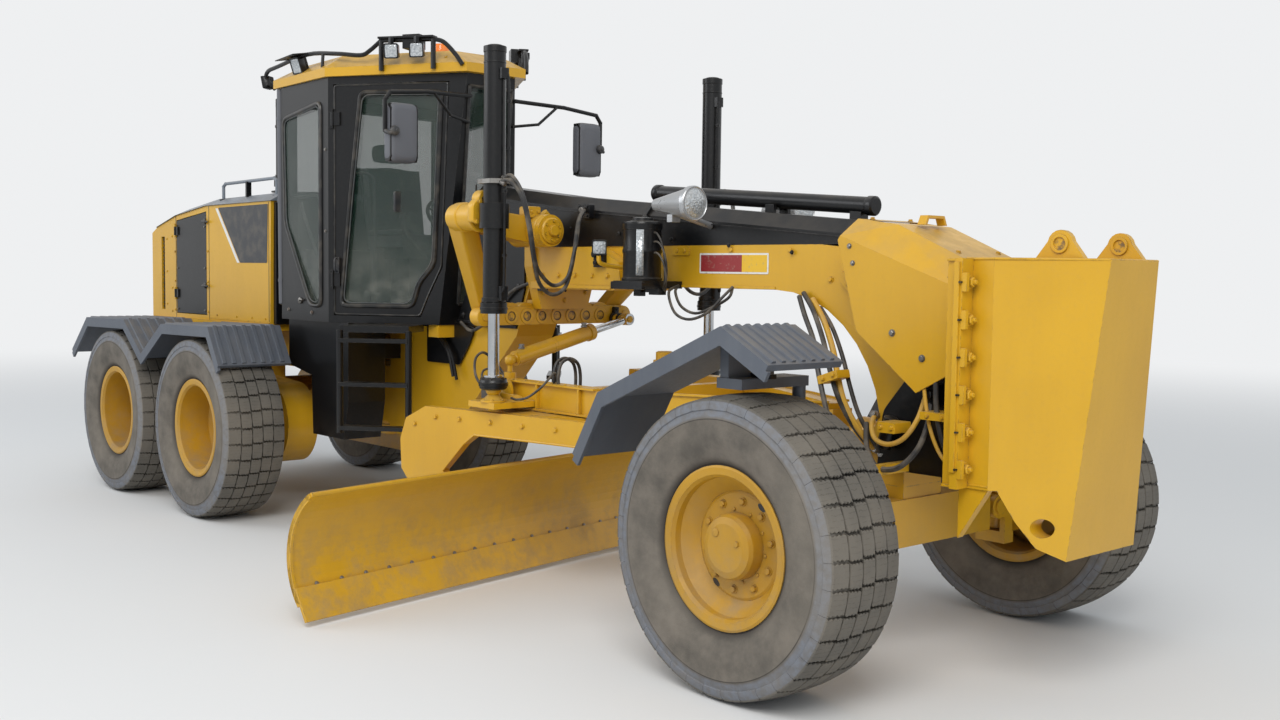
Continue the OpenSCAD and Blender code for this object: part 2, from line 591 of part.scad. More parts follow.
// Front axle with its lean pins, the lean carriers, lean bar and steering knuckles.
pin_y = half_track - 450;
king_y = half_track - 300;
lean_z = 640;
lean_pin_r = 40;
king_r = 34;
cheek = [[wheelbase - 115, wheelbase - 85], [wheelbase + 85, wheelbase + 115]];
lean_top_z = 930;
cheek_y = king_y - 28;
module front_axle() color(yellow) {
  block(wheelbase - 110, wheelbase + 110, -pin_y + 80, pin_y - 80, 530, 760);
  block(wheelbase - 100, wheelbase + 100, -150, 150, 760, 820 - seat_gap);
  both_sides() {
    bar_x(-pin_y, lean_z, 62, wheelbase - 80, wheelbase + 80);
    block(wheelbase - 80, wheelbase + 80, -pin_y, -pin_y + 90, lean_z - 61, lean_z + 61);
    bar_x(-pin_y, lean_z, lean_pin_r, wheelbase - 125, wheelbase + 125);
  }
}
module lean_carrier(side) color(yellow) on_side(side) {
  difference() {
    union() {
      for (c = cheek) {
        bar_x(-pin_y, lean_z, 62, c[0], c[1]);
        block(c[0], c[1], -cheek_y, -pin_y, lean_z - 60, 860);
      }
      block(cheek[1][0], cheek[1][1], -cheek_y, -pin_y - 50, 440, 860);
      block(cheek[0][0], cheek[1][1], -cheek_y - 10, -pin_y - 50, 800, 860);
      block(wheelbase - 60, cheek[1][1], -cheek_y - 10, -pin_y - 50, 440, 500);
      front_plate([[-cheek_y + 12, 850], [-pin_y + 20, 850], [-pin_y + 40, lean_top_z], [-pin_y, lean_top_z + 42],
        [-pin_y - 40, lean_top_z]], cheek[1][0], cheek[1][1]);
      bar_z(wheelbase, -king_y, 68, 800, 860);
      bar_z(wheelbase, -king_y, 68, 440, 500);
      block(wheelbase - 60, wheelbase + 60, -king_y, -cheek_y + 2, 800, 860);
      block(wheelbase - 60, wheelbase + 60, -king_y, -cheek_y + 2, 440, 500);
      bar_z(wheelbase, -king_y, king_r, 440, 900);
    }
    bar_x(-pin_y, lean_z, lean_pin_r + pin_gap, wheelbase - 200, wheelbase + 200);
  }
  bar_x(-pin_y, lean_top_z, 18, cheek[1][1], cheek[1][1] + 50);
}
lean_bar_x = [wheelbase + 120, wheelbase + 158];
module lean_bar() color(yellow) difference() {
  union() {
    block(lean_bar_x[0], lean_bar_x[1], -pin_y, pin_y, lean_top_z - 24, lean_top_z + 24);
    both_sides() bar_x(-pin_y, lean_top_z, 36, lean_bar_x[0], lean_bar_x[1]);
  }
  both_sides() bar_x(-pin_y, lean_top_z, 18 + pin_gap, lean_bar_x[0] - 1, lean_bar_x[1] + 1);
}
arm_back = 260;
module knuckle(side) color(yellow) on_side(side) {
  difference() {
    union() {
      bar_z(wheelbase, -king_y, 62, 505, 795);
      bar_y(wheelbase, wheel_z, 60, -half_track - disc_back + seat_gap, -king_y);
      bar_y(wheelbase, wheel_z, 130, -half_track + 205, -king_y - 75);
      bar_y(wheelbase, wheel_z, 185, -half_track + 60, -half_track + 205);
      block(wheelbase - arm_back, wheelbase, -king_y - 30, -king_y + 30, 505, 545);
      bar_z(wheelbase - arm_back, -king_y, 42, 505, 545);
    }
    bar_z(wheelbase, -king_y, king_r + pin_gap, 400, 900);
  }
  difference() {
    bar_z(tie_x, -king_y, 11, tie_z, 505);
    if (side == "right") translate([tie_x, -king_y, tie_z]) sphere(r = tie_r + seat_gap);
  }
  if (side == "left") translate([tie_x, -king_y, tie_z]) sphere(r = tie_r);
}
// Tie rod: its two ends are cups round the balls below the steering arms.
tie_x = wheelbase - arm_back;
tie_z = 462;
tie_r = 20;
module tie_ball() color(steel) translate([tie_x, -king_y, tie_z]) sphere(r = tie_r);
tie_slot = 15;
module tie_rod() color(steel) difference() {
  union() {
    bar_y(tie_x, tie_z, 17, -king_y, king_y - tie_slot - tie_r);
    translate([tie_x, -king_y, tie_z]) sphere(r = tie_r + 10);
    block(tie_x - 32, tie_x + 32, king_y - tie_slot - 34, king_y + 34, tie_z - 31, tie_z + 22);
  }
  translate([tie_x, -king_y, tie_z]) {
    sphere(r = tie_r + pin_gap);
    cylinder(r = 27, h = 60);
  }
  block(tie_x - tie_r - pin_gap, tie_x + tie_r + pin_gap, king_y - tie_slot - tie_r - 1, king_y + tie_r + 1,
    tie_z - tie_r - 1, tie_z + 60);
}
front_fender_line = [[wheelbase - 946, 962], [wheelbase - 767, 1267], [wheelbase + 23, 1604], [wheelbase + 297, 1457]];
module front_fender(side) color(slate) on_side(side) {
  folded_sheet(front_fender_line, fender_t, -fender_y[0], -fender_y[1] - 80);
  folded_sheet([for (p = front_fender_line) [p[0], p[1] - fender_t]], 45, -fender_y[0], -fender_y[0] + 18);
  bar_z(wheelbase, -king_y, 30, 900 + seat_gap, 1370);
  block(wheelbase - 120, wheelbase + 30, -king_y - 400, -king_y + 30, 1330, 1375);
  block(wheelbase - 110, wheelbase - 60, -king_y - 390, -king_y - 100, 1370, 1545);
}

// Drawbar: A frame from the draft ball to a ring plate above the circle, with the lift ball brackets.
draw_z = [1022, 1172];
ball_z = 1150;
ball_r = 45;
ring_hole_r = 470;
module draft_ball() color(steel) translate(draft) sphere(r = draft_r);
module draw_leg() plan_plate([[draft[0] - 150, 20], [draft[0] - 150, -20], [draft[0] - 170, -70], [4560, -616],
  [4440, -616], [4440, -530], [4560, -530], [draft[0] - 230, 20]], draw_z[0], draw_z[1]);
module drawbar() color(yellow) {
  difference() {
    union() {
      both_sides() draw_leg();
      block(draft[0] - 260, draft[0] - 140, -75, 75, draw_z[0] - 70, draw_z[1] - 30);
      bar_x(0, draft[2], 38, draft[0] - 160, draft[0] - 30);
      both_sides() block(3460, 4500, -616, -540, draw_z[0], draw_z[1]);
      block(3460, 3545, -616, 616, draw_z[0], draw_z[0] + 58);
      block(4440, 4520, -616, 616, draw_z[0], draw_z[1]);
      difference() {
        block(3460, 4500, -616, 616, draw_z[0], draw_z[0] + 30);
        bar_z(circle_x, 0, ring_hole_r, draw_z[0] - 1, draw_z[0] + 40);
      }
      both_sides() block(3720, lift_x + 90, -lift_y - 60, -616, draw_z[0] + 20, draw_z[0] + 55);
      both_sides() for (x = [-440, 440]) bar_z(circle_x + x, -578, 28, circle_z[1] + seat_gap, draw_z[0] + 9);
      both_sides() bar_z(lift_x, -lift_y, 30, draw_z[0] + 55, ball_z);
      both_sides() translate([lift_x, -lift_y, ball_z]) sphere(r = ball_r);
    }
    translate(draft) sphere(r = draft_r + pin_gap);
  }
}

// Circle: toothed ring with its two side arms that carry the blade bracket.
circle_z = [935, 935 + circle_h];
tooth_r = [612, 648];
tooth_step = 360 / circle_teeth;
ring_teeth = [for (i = [0:circle_teeth - 1]) for (p = [[0.08, 0], [0.28, 1], [0.62, 1], [0.82, 0]])
  let (a = (i + p[0]) * tooth_step) [tooth_r[1 - p[1]] * cos(a), tooth_r[1 - p[1]] * sin(a)]];
tip_x = -595;
tip_z = 340;
tip_r = 32;
arm_line = concat([[640, 868], [700, 935], [680, 1012], [-790, 1012], [-960, 930], [-1010, 800], [-1000, 620],
  [tip_x - 190, 380]], arc(tip_x, tip_z, 57, 215, 370), [[tip_x + 4, 460], [tip_x - 50, 640], [-470, 810],
  [-380, 868]]);
module turned_circle() translate([circle_x, 0, 0]) rotate([0, 0, blade_angle]) children();
module toothed_circle() color(yellow) turned_circle() {
  difference() {
    bar_z(0, 0, circle_r, circle_z[0], circle_z[1]);
    plan_plate(ring_teeth, circle_z[0] - 1, circle_z[1] + 1);
  }
  both_sides() difference() {
    side_plate([for (i = [len(arm_line) - 1:-1:0]) arm_line[i]], -835, -775);
    bar_y(tip_x, tip_z, tip_r + pin_gap, -900, -700);
  }
  for (x = [-560, 420]) block(x, x + 90, -776, 776, circle_z[0] - 70, circle_z[0] + 20);
}

// Blade bracket: tube on the tip pins with two upright guides, and the curved moldboard that slides on it.
blade_arc_r = 413;
rail_x = tip_x + 62;
rail_low = 250;
rail_high = 555;
module blade_bracket() color(yellow) turned_circle() {
  bar_y(tip_x, tip_z, tip_r, -845, 845);
  bar_y(tip_x, tip_z, 62, -765, 765);
  for (s = [-1, 1]) {
    side_plate([[tip_x - 50, tip_z - 40], [tip_x + 20, tip_z - 110], [rail_x, tip_z - 110],
      [rail_x, rail_high + 46], [tip_x - 10, rail_high + 46], [tip_x - 30, tip_z + 60]], s * 520 - 60, s * 520 + 60);
    for (z = [rail_low, rail_high]) {
      block(rail_x - 1, rail_x + 30, s * 520 - 60, s * 520 + 60, z - 30, z - seat_gap);
      block(rail_x - 1, rail_x + 30, s * 520 - 60, s * 520 + 60, z + 40 + seat_gap, z + 60);
    }
  }
}
// The moldboard's curve runs from its top, which leads, to its lower edge, both as angles below and above level.
blade_c = [rail_x + 45 + blade_arc_r, 350];
blade_up = 56;
blade_down = 38;
blade_side = -(blade_c[0] - (blade_arc_r - blade_t) * cos(blade_up) + blade_c[0] - blade_arc_r) / 2
  * tan(blade_angle);
function blade_curve(r, from, to) = arc(blade_c[0], blade_c[1], r, from, to, 14);
edge_top = blade_c + (blade_arc_r - blade_t) * [-cos(blade_down - 14), -sin(blade_down - 14)];
edge_low = blade_c + (blade_arc_r - blade_t) * [-cos(blade_down), -sin(blade_down)] + [52, -78];
module moldboard() turned_circle() translate([0, blade_side, 0]) {
  color(yellow) side_plate(concat(blade_curve(blade_arc_r, 180 - blade_up, 180 + blade_down),
    blade_curve(blade_arc_r - blade_t, 180 + blade_down, 180 - blade_up)), -blade_l / 2, blade_l / 2);
  color(steel) side_plate([edge_top + [1, -6], edge_low + [-10, -6], edge_low + [8, 2], edge_top + [20, 2]],
    -blade_l / 2, blade_l / 2);
  color(yellow) for (z = [rail_low, rail_high])
    block(rail_x + seat_gap, rail_x + (z == rail_low ? 62 : 118), -1500, 1500, z, z + 40);
}

// Lift cylinders: the barrel turns on a pin in the arm's hub, the rod slides in it and ends over its ball.
module lift_barrel(side) color(black) on_side(side) {
  difference() {
    union() {
      bar_z(lift_x, -lift_y, lift_r, 1590, 3075);
      bar_z(lift_x, -lift_y, lift_r + 14, 1580, 1640);
      bar_z(lift_x, -lift_y, lift_r + 22, hub_z - 70, hub_z + 70);
      bar_x(-lift_y, hub_z, 44, lift_x - lift_r - 58 + seat_gap, lift_x - 40);
    }
    bar_z(lift_x, -lift_y, lift_rod_r + pin_gap, 1500, 3030);
  }
}
module lift_rod(side) color(steel) on_side(side) {
  bar_z(lift_x, -lift_y, lift_rod_r, ball_z + ball_r + 30, 2640);
  bar_z(lift_x, -lift_y, 56, ball_z + ball_r + swing_gap + 1, ball_z + ball_r + 34);
}
// Centre shift cylinder from its swivel on the drawbar's right side up to the left end of the link bar.
shift_a = [3645, -570, 1290];
shift_b = [3500, 480, 1515];
shift_dir = unit(shift_b - shift_a);
shift_r = 46;
module shift_barrel() color(yellow) difference() {
  union() {
    bar_between(shift_a + shift_dir * 40, shift_a + shift_dir * 720, shift_r, 48);
    bar_between(shift_a + shift_dir * 690, shift_a + shift_dir * 730, shift_r + 8, 48);
    bar_between(shift_a, shift_a + shift_dir * 60, 20);
    translate(shift_a) sphere(r = 34);
  }
  bar_between(shift_a + shift_dir * 90, shift_a + shift_dir * 800, 24 + pin_gap, 48);
}
module shift_yoke() color(yellow) {
  bar_z(shift_a[0], shift_a[1], 36, draw_z[1] + seat_gap, shift_a[2] - 70);
  difference() {
    bar_z(shift_a[0], shift_a[1], 16, shift_a[2] - 75, shift_a[2]);
    translate(shift_a) sphere(r = 34 + pin_gap);
  }
}
module shift_rod() color(steel) {
  bar_between(shift_a + shift_dir * 405, shift_b - shift_dir * 30, 24, 48);
  bar_x(shift_b[1], shift_b[2], 38, shift_b[0] - 32, shift_b[0] + 32);
}

module at_origin() translate([-mid_x, 0, 0]) children();

at_origin() rear_frame();
at_origin() engine_block();
at_origin() rear_axle();
at_origin() rear_fenders();
at_origin() hood_with_hinges();  // hood
at_origin() hood_top();
at_origin() exhaust_stack();
at_origin() engine_door("right");  // engine_door_right
at_origin() engine_door("left");  // engine_door_left
at_origin() front_frame();
at_origin() frame_cover();
at_origin() covered_nose();  // nose_cover
at_origin() push_block();
at_origin() lift_saddle();
at_origin() cab_shell();
at_origin() cab_roof();
at_origin() cab_glass();
at_origin() door_panel("right");  // cab_door_right
at_origin() door_panel("left");  // cab_door_left
at_origin() door_glass("right");  // door_glass_right
at_origin() door_glass("left");  // door_glass_left
at_origin() cab_interior();
at_origin() all_steps_and_tanks();  // steps_and_tanks
at_origin() cab_rails();
at_origin() lamps();
at_origin() front_axle();
at_origin() lean_carrier("right");  // lean_carrier_right
at_origin() lean_carrier("left");  // lean_carrier_left
at_origin() lean_bar();
at_origin() knuckle("right");  // knuckle_right
at_origin() knuckle("left");  // knuckle_left
at_origin() front_fender("right");  // front_fender_right
at_origin() front_fender("left");  // front_fender_left
at_origin() tie_ball();
at_origin() tie_rod();
at_origin() draft_ball();
at_origin() drawbar();
at_origin() toothed_circle();  // circle
at_origin() blade_bracket();
at_origin() moldboard();
at_origin() lift_barrel("right");  // lift_barrel_right
at_origin() lift_barrel("left");  // lift_barrel_left
at_origin() lift_rod("right");  // lift_rod_right
at_origin() lift_rod("left");  // lift_rod_left
at_origin() shift_yoke();
at_origin() shift_barrel();
at_origin() shift_rod();
at_origin() tyre(wheelbase, "right");  // front_tyre_right
at_origin() tyre(wheelbase, "left");  // front_tyre_left
at_origin() tyre(rear_axle_x, "right");  // rear_tyre_right
at_origin() tyre(rear_axle_x, "left");  // rear_tyre_left
at_origin() tyre(-rear_axle_x, "right");  // tail_tyre_right
at_origin() tyre(-rear_axle_x, "left");  // tail_tyre_left
at_origin() rim(wheelbase, "right", front_disc, front_back);  // front_rim_right
at_origin() rim(wheelbase, "left", front_disc, front_back);  // front_rim_left
at_origin() rim(rear_axle_x, "right", rear_disc, rear_back);  // rear_rim_right
at_origin() rim(rear_axle_x, "left", rear_disc, rear_back);  // rear_rim_left
at_origin() rim(-rear_axle_x, "right", rear_disc, rear_back);  // tail_rim_right
at_origin() rim(-rear_axle_x, "left", rear_disc, rear_back);  // tail_rim_left
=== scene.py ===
# Motor grader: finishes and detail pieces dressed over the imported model, with its camera, floor and light.
# Coordinates are written in millimetres from the middle of the tandems, as in the part's source.
import math
import random

import bmesh
import bpy
from mathutils import Matrix, Vector
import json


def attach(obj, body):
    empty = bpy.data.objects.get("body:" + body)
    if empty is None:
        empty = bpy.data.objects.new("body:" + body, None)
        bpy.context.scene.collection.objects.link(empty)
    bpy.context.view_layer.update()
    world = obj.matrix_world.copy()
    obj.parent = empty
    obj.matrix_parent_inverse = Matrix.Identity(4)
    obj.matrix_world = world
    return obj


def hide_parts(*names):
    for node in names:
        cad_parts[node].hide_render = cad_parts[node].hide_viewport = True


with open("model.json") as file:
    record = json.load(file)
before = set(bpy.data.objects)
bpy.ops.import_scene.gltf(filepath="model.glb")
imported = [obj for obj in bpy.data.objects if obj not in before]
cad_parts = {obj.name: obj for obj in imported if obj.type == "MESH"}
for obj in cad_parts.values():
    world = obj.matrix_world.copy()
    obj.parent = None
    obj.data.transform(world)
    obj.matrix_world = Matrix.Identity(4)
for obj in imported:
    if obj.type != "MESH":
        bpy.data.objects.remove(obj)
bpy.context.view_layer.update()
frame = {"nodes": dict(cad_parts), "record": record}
random.seed(14)

MM = 0.001
MIDDLE = 2740.0


def at(x, y, z):
    """A drawing point as a vector in the scene, in metres."""
    return Vector(((x - MIDDLE) * MM, y * MM, z * MM))


# Finishes
class Value:
    """A socket whose values can be added, multiplied and so on, as in a formula."""

    def __init__(self, finish, socket):
        self.finish = finish
        self.socket = socket

    def sum_with(self, operation, first, second, third=0.0):
        return self.finish.node("ShaderNodeMath", {"operation": operation}, {0: first, 1: second, 2: third})

    def __add__(self, other):
        return self.sum_with("ADD", self, other)

    def __sub__(self, other):
        return self.sum_with("SUBTRACT", self, other)

    def __rsub__(self, other):
        return self.sum_with("SUBTRACT", other, self)

    def __mul__(self, other):
        return self.sum_with("MULTIPLY", self, other)

    def between(self, low, high):
        """0 below low, 1 above high, and a soft step between them."""
        return self.finish.node("ShaderNodeMapRange", {"interpolation_type": "SMOOTHSTEP"},
            {0: self, 1: low, 2: high, 3: 0.0, 4: 1.0})

    def kept(self):
        return self.sum_with("MAXIMUM", 0.0, self.sum_with("MINIMUM", 1.0, self))


class Finish:
    """A material whose surface is written as formulas of where a point lies on its piece."""

    def __init__(self, name, **fixed):
        self.material = bpy.data.materials.new(name)
        self.material.use_nodes = True
        self.tree = self.material.node_tree
        self.surface = self.tree.nodes["Principled BSDF"]
        for socket, value in fixed.items():
            self.surface.inputs[socket.replace("_", " ")].default_value = value
        self.place = self.node("ShaderNodeTexCoord", out=3)

    def node(self, kind, settings=None, sockets=None, out=0):
        made = self.tree.nodes.new(kind)
        for key, value in (settings or {}).items():
            setattr(made, key, value)
        for key, value in (sockets or {}).items():
            self.put(made.inputs[key], value)
        return Value(self, made.outputs[out])

    def put(self, socket, value):
        if isinstance(value, Value):
            self.tree.links.new(value.socket, socket)
        elif hasattr(socket.default_value, "__len__") and len(value) != len(socket.default_value):
            socket.default_value = tuple(value) + (1.0,)
        else:
            socket.default_value = value

    def stretched(self, x, y, z):
        return self.node("ShaderNodeVectorMath", {"operation": "MULTIPLY"}, {0: self.place, 1: (x, y, z)})

    def cloud(self, size, detail=4.0, stretch=None, rough=0.55):
        """Soft noise from 0 to 1, whose patches are about size metres."""
        where = self.place if stretch is None else self.stretched(*stretch)
        return self.node("ShaderNodeTexNoise", None, {"Vector": where, "Scale": 1.0 / size, "Detail": detail,
            "Roughness": rough})

    def specks(self, size):
        """Distance to the nearest of scattered points, in cells of size metres."""
        return self.node("ShaderNodeTexVoronoi", None, {"Vector": self.place, "Scale": 1.0 / size})

    def axis(self, index):
        return self.node("ShaderNodeSeparateXYZ", None, {0: self.place}, out=index)

    def facing_up(self):
        facing = self.node("ShaderNodeNewGeometry", out=1)
        return self.node("ShaderNodeSeparateXYZ", None, {0: facing}, out=2)

    def edges(self, width, samples=4):
        """1 on a sharp outer or inner edge and 0 on a flat face."""
        rounded = self.node("ShaderNodeBevel", {"samples": samples}, {"Radius": width})
        plain = self.node("ShaderNodeNewGeometry", out=3)
        match = self.node("ShaderNodeVectorMath", {"operation": "DOT_PRODUCT"}, {0: rounded, 1: plain},
            out=1)
        return (1.0 - match).between(0.02, 0.16)

    def crevices(self, reach=0.05, samples=4):
        """1 in deep corners and 0 in the open."""
        open_sky = self.node("ShaderNodeAmbientOcclusion", {"samples": samples}, {"Distance": reach}, out=1)
        return (1.0 - open_sky).between(0.25, 0.85)

    def blend(self, amount, under, over):
        return self.node("ShaderNodeMix", {"data_type": "RGBA"}, {0: amount, 6: under, 7: over}, out=2)

    def tint(self, amount, low, high):
        """A number that runs from low to high as amount goes from 0 to 1."""
        return self.node("ShaderNodeMapRange", None, {0: amount, 1: 0.0, 2: 1.0, 3: low, 4: high})

    def relief(self, height, depth, strength=1.0):
        return self.node("ShaderNodeBump", None, {"Strength": strength, "Distance": depth, "Height": height})

    def done(self, colour=None, roughness=None, metallic=None, normal=None, alpha=None):
        for socket, value in (("Base Color", colour), ("Roughness", roughness), ("Metallic", metallic),
                ("Normal", normal), ("Alpha", alpha)):
            if value is not None:
                self.put(self.surface.inputs[socket], value)
        return self.material


def shade(red, green, blue):
    """A colour given by its values on a screen, 0 to 255, as the renderer's linear colour."""
    return tuple((c / 255 / 12.92) if c <= 10 else ((c / 255 + 0.055) / 1.055) ** 2.4
        for c in (red, green, blue))


ROAD_DUST = shade(158, 146, 128)
DRY_MUD = shade(112, 98, 80)


def weathered(name, paint, dull, gloss=0.42, dust=0.5, mud_height=1.0, wear=None, grain=0.0006, streaks=0.35,
        splashed=0.45, corners=True, **fixed):
    """Painted or moulded surface: patchy colour, dust where it lies flat or low, run marks, worn edges, and
    dirt with painted shade in corners.
    """
    f = Finish(name, **fixed)
    patches = f.cloud(0.9, 3.0)
    fine = f.cloud(0.018, 5.0)
    runs = f.cloud(0.05, 4.0, (1.0, 1.0, 0.12))
    height = f.axis(2)
    colour = f.blend((patches.between(0.35, 0.7) * 0.5 + (runs - 0.5) * streaks).kept(), paint, dull)
    lying = f.facing_up().between(0.35, 0.95) * f.cloud(0.12, 5.0).between(0.25, 0.75)
    splash = (1.0 - height.between(0.1, mud_height)) * f.cloud(0.16, 6.0, rough=0.7).between(0.38, 0.68)
    settled = (lying * dust + splash * splashed + (fine.between(0.45, 0.8) * 0.12 * dust)).kept()
    colour = f.blend(settled, colour, f.blend(f.cloud(0.3), ROAD_DUST, DRY_MUD))
    if corners:
        # Dirt and painted shade in corners: an ambient-occlusion mask, broken by noise, darkens crevices
        # towards dark brown.
        grime_and_shade = f.crevices() * f.cloud(0.09, 4.0).between(0.2, 0.7)
        colour = f.blend(grime_and_shade * 0.55, colour, shade(58, 50, 40))
    rough = f.tint(settled, gloss, 0.88) + (fine - 0.5) * 0.16
    if wear:
        rubbed = f.edges(0.006) * f.cloud(0.035, 5.0).between(0.46, 0.62)
        colour = f.blend(rubbed, colour, wear)
    return f.done(colour, rough.kept(), normal=f.relief(fine * 0.4 + f.cloud(0.0035, 2.0) * 0.6, grain))


yellow_paint = weathered("yellow_paint", shade(216, 166, 30), shade(196, 148, 28), 0.34, 0.45, 0.8,
    wear=shade(120, 96, 60), Coat_Weight=0.12, Coat_Roughness=0.2)
# Rim paint: the yellow paint darkened, partly for dirt and mud and partly as painted shade in the rim's dish.
# The hub bolts share it.
rim_paint_dirt_and_shade = weathered("rim_paint_dirt_and_shade", shade(192, 144, 26), shade(150, 110, 28), 0.45, 0.4, 1.3,
    wear=shade(98, 76, 46), splashed=0.42)
black_paint = weathered("black_paint", shade(12, 13, 15), shade(20, 21, 24), 0.32, 0.16, 0.9,
    wear=shade(70, 68, 66), streaks=0.4, splashed=0.3, Specular_IOR_Level=0.3, Coat_Weight=0.12,
    Coat_Roughness=0.08)
slate_plastic = weathered("slate_plastic", shade(78, 84, 94), shade(96, 101, 109), 0.45, 0.42, 0.7,
    grain=0.0012, streaks=0.8)
# Grey paint: its light bluish tone, as on the hood top, is partly a painted sky reflection.
grey_paint = weathered("grey_paint", shade(124, 131, 140), shade(104, 110, 118), 0.34, 0.3, 0.4, streaks=0.4)
cast_iron = weathered("cast_iron", shade(74, 70, 66), shade(52, 50, 48), 0.62, 0.6, 0.9, grain=0.002)
lamp_shell = weathered("lamp_shell", shade(176, 178, 180), shade(150, 150, 150), 0.3, 0.25, 0.3,
    Metallic=0.6, corners=False)


def bright_steel():
    f = Finish("steel", Metallic=0.85)
    rust = (f.cloud(0.05, 6.0, rough=0.7).between(0.5, 0.72) + f.crevices(0.03) * 0.5).kept()
    colour = f.blend(rust, f.blend(f.cloud(0.3), shade(150, 148, 144), shade(118, 116, 112)),
        shade(98, 70, 48))
    return f.done(colour, f.tint(rust, 0.36, 0.8), f.tint(rust, 0.85, 0.2), f.relief(f.cloud(0.004), 0.0006))


def polished_rod():
    f = Finish("rod_chrome", Metallic=1.0)
    film = f.cloud(0.06, 4.0, (1.0, 1.0, 0.3)).between(0.45, 0.8)
    colour = f.blend(film * 0.6, shade(214, 216, 218), shade(150, 142, 130))
    return f.done(colour, f.tint(film, 0.1, 0.35), normal=f.relief(f.cloud(0.02), 0.0001))


def rubber_tyre():
    """Dusty road tyre: brown-grey sidewall, a lighter bluish band at the shoulder, painted shade in the
    grooves between the blocks.
    """
    f = Finish("tyre_rubber", Specular_IOR_Level=0.25)
    radius = f.node("ShaderNodeVectorMath", {"operation": "LENGTH"}, {0: f.stretched(1.0, 0.0, 1.0)}, out=1)
    patches = f.cloud(0.22, 5.0, rough=0.65)
    smears = f.cloud(0.03, 5.0)
    tread = radius.between(0.628, 0.636)
    shoulder = radius.between(0.556, 0.572) * (1.0 - radius.between(0.63, 0.64))
    wall = f.blend(patches.between(0.3, 0.7), shade(120, 113, 104), shade(90, 86, 80))
    wall = f.blend(radius.between(0.36, 0.40), shade(70, 66, 62), wall)
    mould_line = radius.between(0.552, 0.555) * (1.0 - radius.between(0.556, 0.559))
    wall = f.blend(mould_line * 0.8, wall, shade(58, 54, 52))
    # A lighter bluish band at the shoulder, broken by smears.
    wall = f.blend(shoulder * f.tint(smears.between(0.3, 0.7), 0.45, 0.95), wall, shade(122, 126, 134))
    blocks = f.blend(patches * 0.6 + smears * 0.4, shade(112, 108, 101), shade(90, 87, 82))
    turn = radius.sum_with("ARCTAN2", f.axis(0), f.axis(2))
    along = turn.sum_with("FRACT", turn * 29.0 + f.cloud(0.02, 2.0) * 0.9, 0.0)
    cuts = along.between(0.42, 0.5) * (1.0 - along.between(0.5, 0.58)) * f.cloud(0.03, 2.0).between(0.4,
        0.55)
    blocks = f.blend(cuts * 0.75, blocks, shade(60, 57, 53))
    colour = f.blend(tread, wall, blocks)
    # Painted shade: an ambient-occlusion mask darkens the grooves and corners almost to black.
    colour = f.blend(f.crevices(0.03) * 0.9, colour, shade(30, 28, 26))
    dust = f.cloud(0.5, 3.0).between(0.4, 0.7) * 0.4
    colour = f.blend(dust, colour, shade(140, 132, 120))
    height = smears * 0.5 + f.cloud(0.006, 3.0) * 0.5
    return f.done(colour, f.tint(patches, 0.78, 0.95), normal=f.relief(height, 0.002))


def tinted_glass():
    """Greenish cab glass, dusty towards its lower edge and clear enough to show the seat."""
    f = Finish("cab_glass", IOR=1.45, Roughness=0.02, Coat_Weight=1.0, Coat_Roughness=0.0)
    low_down = 1.0 - f.axis(2).between(1.55, 2.1)
    film = (f.cloud(0.5, 3.0).between(0.35, 0.8) * 0.25 + low_down * f.cloud(0.12, 4.0).between(0.3,
        0.8)).kept()
    return f.done(f.blend(film, shade(40, 62, 54), shade(120, 122, 112)), alpha=f.tint(film, 0.36, 0.5))


def seat_cloth():
    f = Finish("seat_fabric", Sheen_Weight=0.4, Sheen_Roughness=0.5)
    weave, cross = (f.node("ShaderNodeTexWave", {"wave_type": "BANDS", "bands_direction": way},
        {"Vector": f.place, "Scale": 130.0, "Distortion": 0.4}) for way in "XY")
    worn = f.cloud(0.15, 4.0)
    colour = f.blend(weave * cross, shade(40, 43, 48), shade(66, 70, 76))
    colour = f.blend(worn.between(0.5, 0.8) * 0.4, colour, shade(104, 100, 92))
    return f.done(colour, f.tint(worn, 0.8, 0.95), normal=f.relief(weave + cross, 0.0008))


def soft_rubber(name, colour, gloss, dust):
    f = Finish(name)
    film = (f.cloud(0.08, 5.0).between(0.4, 0.75) * dust + f.facing_up().between(0.3,
        0.9) * dust * 0.6).kept()
    return f.done(f.blend(film, colour, ROAD_DUST), f.tint(film, gloss, 0.9),
        normal=f.relief(f.cloud(0.005), 0.0005))


def lens(name, clear, deep, size, **fixed):
    """Moulded lens with small prisms and a little dirt."""
    f = Finish(name, **fixed)
    prisms = f.specks(size)
    dirt = f.cloud(0.03, 4.0).between(0.5, 0.8) * 0.35
    return f.done(f.blend(dirt, f.blend(prisms, clear, deep), ROAD_DUST), f.tint(dirt, 0.08, 0.5),
        normal=f.relief(prisms, 0.002))


def bare_paint(name, colour, dull, gloss=0.35):
    """Thin painted stripe or blank plate with faint scuffs."""
    f = Finish(name)
    scuffs = f.cloud(0.02, 5.0).between(0.55, 0.75) * 0.5
    patches = f.cloud(0.25, 4.0)
    return f.done(f.blend(scuffs, f.blend(patches * 0.5, colour, dull), ROAD_DUST),
        f.tint(scuffs, gloss, 0.8), normal=f.relief(f.cloud(0.004), 0.0004))


